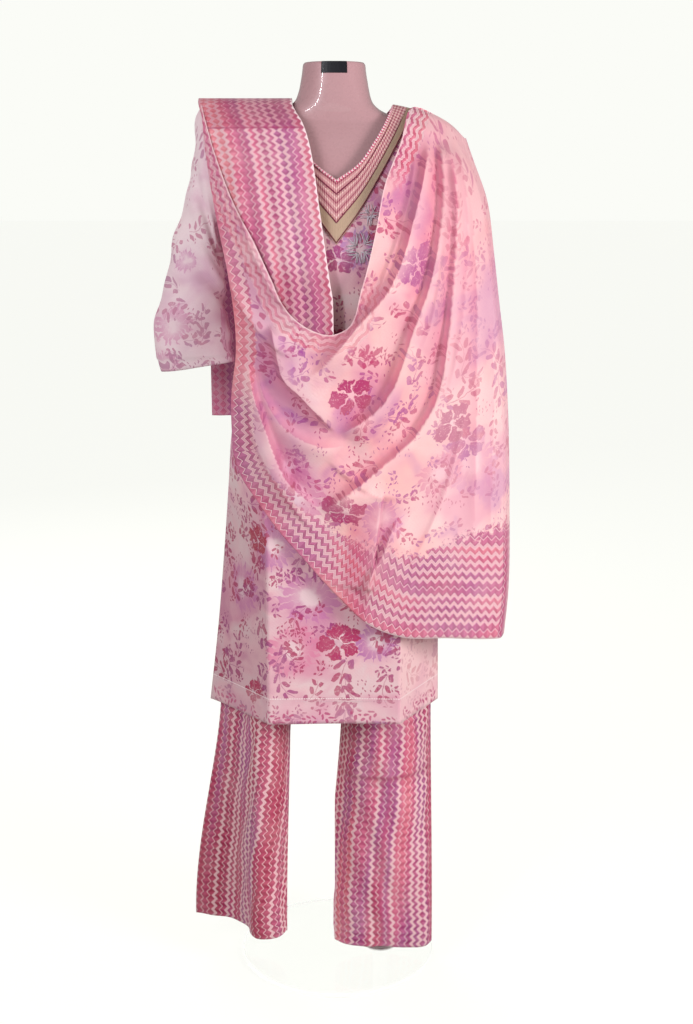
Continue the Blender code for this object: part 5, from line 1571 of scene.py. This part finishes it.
def makeDupatta():
    grid, valleyShade, crestHighlight = drapeGrid(dupattaFit["columns"], dupattaFit["rows"])
    turned = dupattaFit["turned"]
    grid = turnedBack(grid, turned)
    # painted fold shade and painted highlight for the print, none on the turned-back columns
    folds = np.stack([valleyShade, crestHighlight], axis=-1)
    folds = np.concatenate([folds, 0 * folds[:, -turned:]], axis=1)
    x, z = grid[..., 0], grid[..., 2]
    gap, place, run = borderMap(grid)
    low = route(lowerEdge, np.linspace(0, 1, dupattaFit["columns"]))
    lowRun = np.concatenate([[0], np.cumsum(np.hypot(*np.diff(low, axis=0).T))])
    lowRun = np.concatenate([lowRun, np.full(turned, lowRun[-1])])
    straight = smooth((x + 0.02) / 0.09) * smooth((0.95 - z) / 0.1)
    place = place + straight * (run[-1] - lowRun[dupattaFit["columns"] - 1] + lowRun[None, :] - place)
    layer = np.interp(z, [0.60, 0.715, 0.835], [0.040, 0.055, 0.068])
    # painted shade on the band that runs under the overlapping layer, added to the valley shade
    tuckedShade = smooth((layer - x) / 0.004) * smooth((x - layer + 0.055) / 0.02) * smooth((0.845 - z) / 0.02)
    gap = gap + 0.006 * smooth((layer - x) / 0.002)
    folds[..., 0] = np.maximum(folds[..., 0], 0.55 * tuckedShade)
    width = zoneWidth(place, run)
    flat = np.stack([x + 0.35 * grid[..., 1], z - 0.35 * grid[..., 1]], axis=-1)
    top = route(cowlEdge + ((0.112, 1.410), (0.126, 1.450)), np.linspace(0, 1, 200))
    away = np.hypot(x[..., None] - top[:, 0], z[..., None] - top[:, 1])
    near = np.argmin(away, axis=-1)
    cowl = np.take_along_axis(away, near[..., None], -1)[..., 0]
    along = near / 199 * 0.62
    # strong by the right shoulder, faint down the left side and along the bottom, gone up the right side
    edge = np.array([0.0, 0.30, 0.55, 0.62, 0.66, 0.80, 0.86, 1.0])
    shown = np.interp(near / 199, edge, [0.55, 0.55, 0.6, 0.5, 0.0, 0.0, 0.9, 0.9])
    side = arcs(grid, 1)
    maps = {
        "UVMap": flat,
        "borderMap": np.stack([gap, place], axis=-1),
        "borderZone": np.stack([gap / width, cowl / 0.030], axis=-1),
        "cowlMap": np.stack([cowl, along], axis=-1),
        "cowlShare": np.stack([shown, shown], axis=-1),
        "sideMap": np.stack([side[:, -1:] - side, z], axis=-1),
        "paintedFoldShading": folds,
    }
    piece = clothGrid("dupattaFront", grid, (0, -1, 0), maps)
    giveWall(piece, dupattaFit["wall"])
    setPiece(piece, dupattaPrint, "dupatta_print", "dupatta_front")


def makeDupattaEnd():
    rows, columns = dupattaFit["endRows"], dupattaFit["endColumns"]
    front = np.unique(np.concatenate([np.linspace(endFront[0].height, endTop, rows),
                                      [endTop - 0.0006, endTop - 0.002]]))
    back = np.linspace(endBack[0].height, endTop - 0.0004, rows)
    hang, behind = endGrid(endFront, -1, front, columns), endGrid(endBack, 1, back, columns)
    whole = np.concatenate([hang, behind[::-1]])
    outward = np.stack([0 * whole[..., 0], whole[..., 1], 0.05 + 0 * whole[..., 0]], axis=-1)
    down = arcs(whole, 0)
    middle = columns // 2
    down = down[:, middle:middle + 1] - down[len(front) - 1, middle]
    t = np.linspace(0, 1, columns)[None, :]
    flat = np.stack([t * dupattaFit["endWidth"] + 0 * down, down + 0 * t], axis=-1)
    piece = clothGrid("dupattaEnd", whole, outward, {"UVMap": flat})
    giveWall(piece, dupattaFit["wall"])
    setPiece(piece, endPrint, "dupatta_print", "dupatta_left_end")


def makeDupattaFall():
    heights = np.linspace(fallStrips[0].height, drapeTop, dupattaFit["fallRows"])
    fall = fallGrid(np.unique(np.concatenate([heights, [drapeTop - 0.0006]])), dupattaFit["fallColumns"])
    flat = np.stack([arcs(fall, 1), arcs(fall, 0)], axis=-1)
    piece = clothGrid("dupattaFall", fall, (0, 1, 0), {"UVMap": flat})
    giveWall(piece, dupattaFit["wall"])
    setPiece(piece, fallPrint, "dupatta_print", "dupatta_right_back")
    print("dupatta made")


formFit = {"sides": 96, "recessGap": 0.0009}


def makeForm():
    heights = np.unique(np.concatenate([np.linspace(formBottom, 1.39, 60), np.linspace(1.39, neckTop, 70)]))
    rings = np.array([formRing(h + np.zeros(formFit["sides"]), formFit["sides"]) for h in heights])
    rings = np.concatenate([rings, rings[:, :1]], axis=1)
    low, high = rings[:1].mean(axis=1, keepdims=True), rings[-1:].mean(axis=1, keepdims=True)
    caps = [low + (rings[:1] - low) * s for s in (0.0, 0.5, 0.9, 0.985)]
    tops = [high + (rings[-1:] - high) * s for s in (0.985, 0.9, 0.5, 0.0)]
    points = np.concatenate(caps + [rings] + tops)
    flat = np.stack([points[..., 0], points[..., 2]], axis=-1)
    away = around(points)
    away[:4, :, 2], away[-4:, :, 2] = -1, 1
    piece = clothGrid("dressForm", points, away, {"UVMap": flat})
    closeSeams(piece)
    cutter = recessBlock()
    onlySelect(piece)
    cut = piece.modifiers.new("Recess", "BOOLEAN")
    cut.operation = "DIFFERENCE"
    cut.solver = "EXACT"
    cut.object = cutter
    bpy.ops.object.modifier_apply(modifier="Recess")
    bpy.data.objects.remove(cutter)
    onlySelect(piece)
    bpy.ops.object.shade_smooth_by_angle(angle=math.radians(50))
    setPiece(piece, formGloss, "form_gloss", "dress_form")
    print("dress form made")


def recessBlock():
    # the block that cuts the neck's socket recess, a little larger than the plug in it
    turns = np.radians(np.linspace(plugTurns[0] - recessWider, plugTurns[1] + recessWider, 25))
    low, high = plugBottom - seamGap, neckTop + recessProud
    half, front = float(read(formRings, "half", 1.478)), float(read(formRings, "front", 1.478))
    cosine, sine = np.cos(turns), np.sin(turns)
    x = half * np.sign(cosine) * np.abs(cosine) ** bodyRoundness
    y = front * np.sign(sine) * np.abs(sine) ** bodyRoundness
    size = np.hypot(x, y)
    outer, inner = (size + recessProud) / size, (size - plugDepth - 3 * seamGap) / size
    loop = np.concatenate([np.stack([x * outer, y * outer], -1), np.stack([x * inner, y * inner], -1)[::-1]])
    loop = np.concatenate([loop, loop[:1]]) + (formCentre, 0)
    centre = np.array([[loop[:-1, 0].mean(), loop[:-1, 1].mean()]])
    rows = [np.concatenate([loop * s + centre * (1 - s), np.full((len(loop), 1), z)], axis=1)
            for s, z in ((0, low), (1, low), (1, high), (0, high))]
    points = np.array(rows)
    block = clothGrid("recessBlock", points, around(points) + 1e-9, {})
    closeSeams(block)
    editWhole(block, bpy.ops.mesh.normals_make_consistent, inside=False)
    return block


borderFit = {"columns": 22, "rows": 80, "wall": 0.0012, "cut": (0.24, 0.25), "area": 0.019,
             "lift": seamGap + borderLift + cottonWall}
trimFit = {"piping": (0.02, 0.0017), "cords": ((0.22, 0.0007), (0.66, 0.0007), (0.965, 0.0008)),
           "beadRows": (0.255, 0.625), "beadEvery": 0.0050, "beadSize": 0.0010}


def front(right, share, height):
    # the kurta's front at a share, on the right where right is true and else on the left
    return np.where(right[..., None], kurta(1, -1, share, height), kurta(-1, -1, share, height))


def onKurta(x, height, lift):
    # the place on the kurta's front at x and a height, lifted off the cloth
    middle, half = middleOf(kurtaBodies, height)
    side = np.where(x > middle, 1, -1)
    low, high = np.zeros_like(x), np.ones_like(x)
    for _ in range(30):
        share = (low + high) / 2
        points = front(side > 0, share, height)
        beyond = side * (points[..., 0] - x) > 0
        low, high = np.where(beyond, low, share), np.where(beyond, share, high)
    return points + np.array([0.0, -lift, 0.0])


def borderPlace(side, run, across, lift):
    # a place on the border: run from the tip to the shoulder, across from the neck edge outwards
    run, across = np.broadcast_arrays(run, across)
    inner = np.array([(edge.x, edge.height) for edge in vNeck])
    outer = np.array([(edge.x, edge.height) for edge in borderOuter])
    outer[0, 0] = 0.0
    flat = route(inner, run) * (1 - across[..., None]) + route(outer, run) * across[..., None]
    x, h = side * flat[..., 0], np.minimum(flat[..., 1], shoulderHeight - seamGap)
    middle, half = middleOf(kurtaBodies, h)
    share = turnAt(np.abs(x - middle) / half)
    return front(x > middle, share, h) + np.array([0.0, -lift, 0.0])


def trimPath(across, lift, count=160):
    # one line right round the neck, from the left shoulder through the tip to the right one
    run = np.linspace(0, 1, count)
    left = borderPlace(-1, run[::-1], np.full(count, across), lift)
    right = borderPlace(1, run, np.full(count, across), lift)
    return np.concatenate([left, right[1:]])


def makeNeckBorder():
    run = np.linspace(0, 1, borderFit["rows"])[:, None]
    across = np.linspace(0, 1, borderFit["columns"])[None, :]
    halves = []
    for side in (-1, 1):
        points = borderPlace(side, run, across, 0.0)
        lifted = normalsOf(points, (0, -1, 0))
        lifted[0, :, 0] = 0
        points = points + unit(lifted) * borderFit["lift"]
        flat = np.stack([across + 0 * run, run * 0.25 + 0 * across], axis=-1)
        halves.append(clothGrid("border" + str(side), points, (0, -1, 0), {"UVMap": flat}))
    piece = joinPieces("neckBorder", *halves)
    closeSeams(piece)
    giveWall(piece, borderFit["wall"])
    setPiece(piece, trimGold, "neck_trim", "neck_border")

    lift = borderFit["lift"]
    across, radius = trimFit["piping"]
    piping = tubeAlong("neckPiping", trimPath(across, lift + radius * 0.6), radius, 10)
    setPiece(piping, pipingThread, "neck_trim")
    cords = [tubeAlong("cord" + str(k), trimPath(across, lift + radius * 0.6), radius, 7)
             for k, (across, radius) in enumerate(trimFit["cords"])]
    setPiece(joinPieces("neckCords", *cords), maroonThread, "neck_trim")
    bpy.ops.object.select_all(action="DESELECT")
    bpy.ops.mesh.primitive_uv_sphere_add(segments=7, ring_count=4, radius=1.0)
    model = bpy.context.object
    places, ways, ups = [], [], []
    for row, across in enumerate(trimFit["beadRows"]):
        every = trimFit["beadEvery"]
        path = trimPath(across, lift + 0.0004, 400)
        spots, aims = spotsAlong(path, 0.003 + (row % 2) * every / 2, 0.0, every)
        places += list(spots)
        ways += list(aims)
        ups += [np.array([0.0, -1.0, 0.3])] * len(spots)
    sizes = [trimFit["beadSize"] * (1 + 0.25 * math.sin(7.3 * k)) for k in range(len(places))]
    setPiece(copies("neckBeads", model, places, ways, ups, sizes), beadGold, "neck_trim")
    print("neck border made")


stitchFit = {"every": 0.0042, "length": 0.0013, "thick": 0.16, "lift": 0.0016, "aboveHem": 0.0385}


def stitchModel(thick):
    bpy.ops.object.select_all(action="DESELECT")
    bpy.ops.mesh.primitive_uv_sphere_add(segments=6, ring_count=4, radius=1.0)
    model = bpy.context.object
    model.scale = (1.0, thick, thick)
    bpy.ops.object.transform_apply(location=False, rotation=False)
    return model


def makeStitches():
    # rows of stitching along the kurta's hem and the trouser hems
    def sew(name, slotName, finish, paths, up):
        places, ways = [], []
        for path in paths:
            spots, aims = spotsAlong(path, *[stitchFit["every"]] * 3)
            places += list(spots)
            ways += list(aims)
        model = stitchModel(stitchFit["thick"])
        count = len(places)
        piece = copies(name, model, places, ways, [np.array(up)] * count, [stitchFit["length"]] * count)
        setPiece(piece, finish, slotName)

    share = np.linspace(0.985, 0.0, 70)
    for name, face in (("kurtaFrontStitches", -1), ("kurtaBackStitches", 1)):
        left = kurta(-1, face, share, kurtaHem + stitchFit["aboveHem"])
        right = kurta(1, face, share[::-1], kurtaHem + stitchFit["aboveHem"])
        path = np.concatenate([left, right[1:]]) + np.array([0.0, face * 0.0004, 0.0])
        sew(name, "kurta_print", paleThread, [path], (0.0, face, 0.05))
    for name, side, hem, face, stations in (
        ("trouserLeftStitches", -1, leftHem, -1, leftLegFront),
        ("trouserLeftBackStitches", -1, leftHem, 1, leftLegBack),
        ("trouserRightStitches", 1, rightHem, -1, rightLegFront),
        ("trouserRightBackStitches", 1, rightHem, 1, rightLegBack),
    ):
        heights = hem + np.array([0.024, 0.026, 0.028])
        rows = legRows(stations, hem, side, face, heights, trouserFit["columns"])
        path = rows[1, 2:-2] + normalsOf(rows, (0, face, 0))[1, 2:-2] * stitchFit["lift"]
        sew(name, "zigzag_print", paleThread, [path], (0.0, face, 0.05))
    print("stitches made")


embroideryFit = {"flowers": ((0.036, 1.212, 0.019, 34), (0.050, 1.262, 0.011, 16)), "thick": 0.075,
                 "lift": 0.0016, "length": 0.0075, "longer": 0.0040}


def makeEmbroidery():
    # loose straight stitches in white thread that ring the printed flowers on the chest
    places, ways, sizes = [], [], []
    for x, height, reach, count in embroideryFit["flowers"]:
        for k in range(count):
            turn = k * 2.399
            out = reach * (0.55 + 0.45 * ((k * 0.618) % 1.0))
            lean, step = turn + 0.5 * math.sin(3.0 * k), 0.0005
            acrossAt = x + out * math.cos(turn) + np.array([0.0, step * math.cos(lean)])
            upAt = height + out * math.sin(turn) + np.array([0.0, step * math.sin(lean)])
            here, beyond = onKurta(acrossAt, upAt, embroideryFit["lift"])
            places.append(here)
            ways.append(beyond - here)
            sizes.append(embroideryFit["length"] + embroideryFit["longer"] * ((k * 0.37) % 1.0))
    model = stitchModel(embroideryFit["thick"])
    piece = copies("chestEmbroidery", model, places, ways, [np.array([0.0, -1.0, 0.1])] * len(places), sizes)
    setPiece(piece, paleThread, "kurta_print")
    print("embroidery made")


stageFit = {"floor": 60.0, "ambient": 0.33, "lights": (
    # name, power, size, place, aim and colour
    ("keyLight", 68.0, (0.9, 1.1), (2.5, -1.8, 1.7), (0.0, 0.0, 0.85), (1.0, 0.955, 0.94)),
    ("fillLight", 21.0, (1.2, 1.2), (-1.4, -2.2, 2.0), (-0.22, 0.0, 1.15), (1.0, 0.98, 0.95)),
    ("backLight", 42.0, (1.6, 1.6), (-1.2, 2.6, 2.4), (0.0, 0.0, 0.9), (1.0, 0.98, 0.96)),
    ("neckGleam", 5.0, (0.03, 0.9), (-0.72, -1.40, 1.62), (0.0, 0.0, 1.46), (0.92, 0.96, 1.0)),
)}


def makeStage():
    bpy.ops.object.select_all(action="DESELECT")
    bpy.ops.mesh.primitive_plane_add(size=stageFit["floor"], location=(0, 20, 0))
    floor = bpy.context.object
    floor.name = floor.data.name = "paleFloor"
    made, shader = newFinish("paleStudio", 0.95)
    shader.inputs["Base Color"].default_value = (0.20, 0.20, 0.19, 1)
    shader.inputs["Emission Color"].default_value = (0.99, 1.0, 0.955, 1)
    ray = Wire(newNode("LightPath").outputs["Is Diffuse Ray"])
    plug(shader.inputs["Emission Strength"], remap(ray, 0.0, 1.0, 0.875, 0.25, soft=False))
    shader.inputs["Specular IOR Level"].default_value = 0.1
    floor.data.materials.append(made)

    world = bpy.data.worlds.new("studioWhite")
    bpy.context.scene.world = world
    world.use_nodes = True
    tree = world.node_tree
    soft = tree.nodes["Background"]
    soft.inputs["Color"].default_value = (1.0, 0.985, 0.955, 1)
    soft.inputs["Strength"].default_value = stageFit["ambient"]
    seen = tree.nodes.new("ShaderNodeBackground")
    seen.inputs["Color"].default_value = (0.965, 0.973, 0.930, 1)
    seen.inputs["Strength"].default_value = 1.0
    choice = tree.nodes.new("ShaderNodeMixShader")
    ray = tree.nodes.new("ShaderNodeLightPath")
    for start, end in ((ray.outputs["Is Camera Ray"], choice.inputs[0]), (soft.outputs[0], choice.inputs[1]),
                       (seen.outputs[0], choice.inputs[2]),
                       (choice.outputs[0], tree.nodes["World Output"].inputs[0])):
        tree.links.new(start, end)

    for name, power, size, place, aim, colour in stageFit["lights"]:
        light = bpy.data.lights.new(name, "AREA")
        light.shape = "RECTANGLE"
        light.size, light.size_y = size
        light.energy = power
        light.color = colour
        lamp = bpy.data.objects.new(name, light)
        bpy.context.scene.collection.objects.link(lamp)
        lamp.visible_glossy = name == "neckGleam"
        lamp.location = place
        lamp.rotation_euler = (lamp.location - Vector(aim)).to_track_quat("Z", "Y").to_euler()


cameraFit = {"sensor": 36.0, "focal": 1476 / 1024, "place": (0.015, -2.36, 1.31), "down": 12.6}


def makeCamera():
    lens = bpy.data.cameras.new("photoCamera")
    lens.sensor_width = cameraFit["sensor"]
    lens.lens = cameraFit["sensor"] * cameraFit["focal"]
    lens.clip_end = 200.0
    camera = bpy.data.objects.new("photoCamera", lens)
    bpy.context.scene.collection.objects.link(camera)
    camera.location = cameraFit["place"]
    camera.rotation_euler = (math.radians(90 - cameraFit["down"]), 0.0, 0.0)
    bpy.context.scene.camera = camera


for makePieces in (makeForm, makeKurta, makeSleeves, makeTrousers, makeDupatta, makeDupattaEnd,
                   makeDupattaFall, makeNeckBorder, makeEmbroidery, makeStitches):
    makePieces()
for nodeName, finish in (("neck_plug", blackPlastic), ("pole", whiteEnamel), ("base_plate", clearGlass),
                         ("waistband", ribbedCotton)):
    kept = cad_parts[nodeName]
    kept.data.materials.clear()
    kept.data.materials.append(finish)
makeStage()
makeCamera()
bpy.context.scene.view_settings.view_transform = "Standard"
print("scene ready")
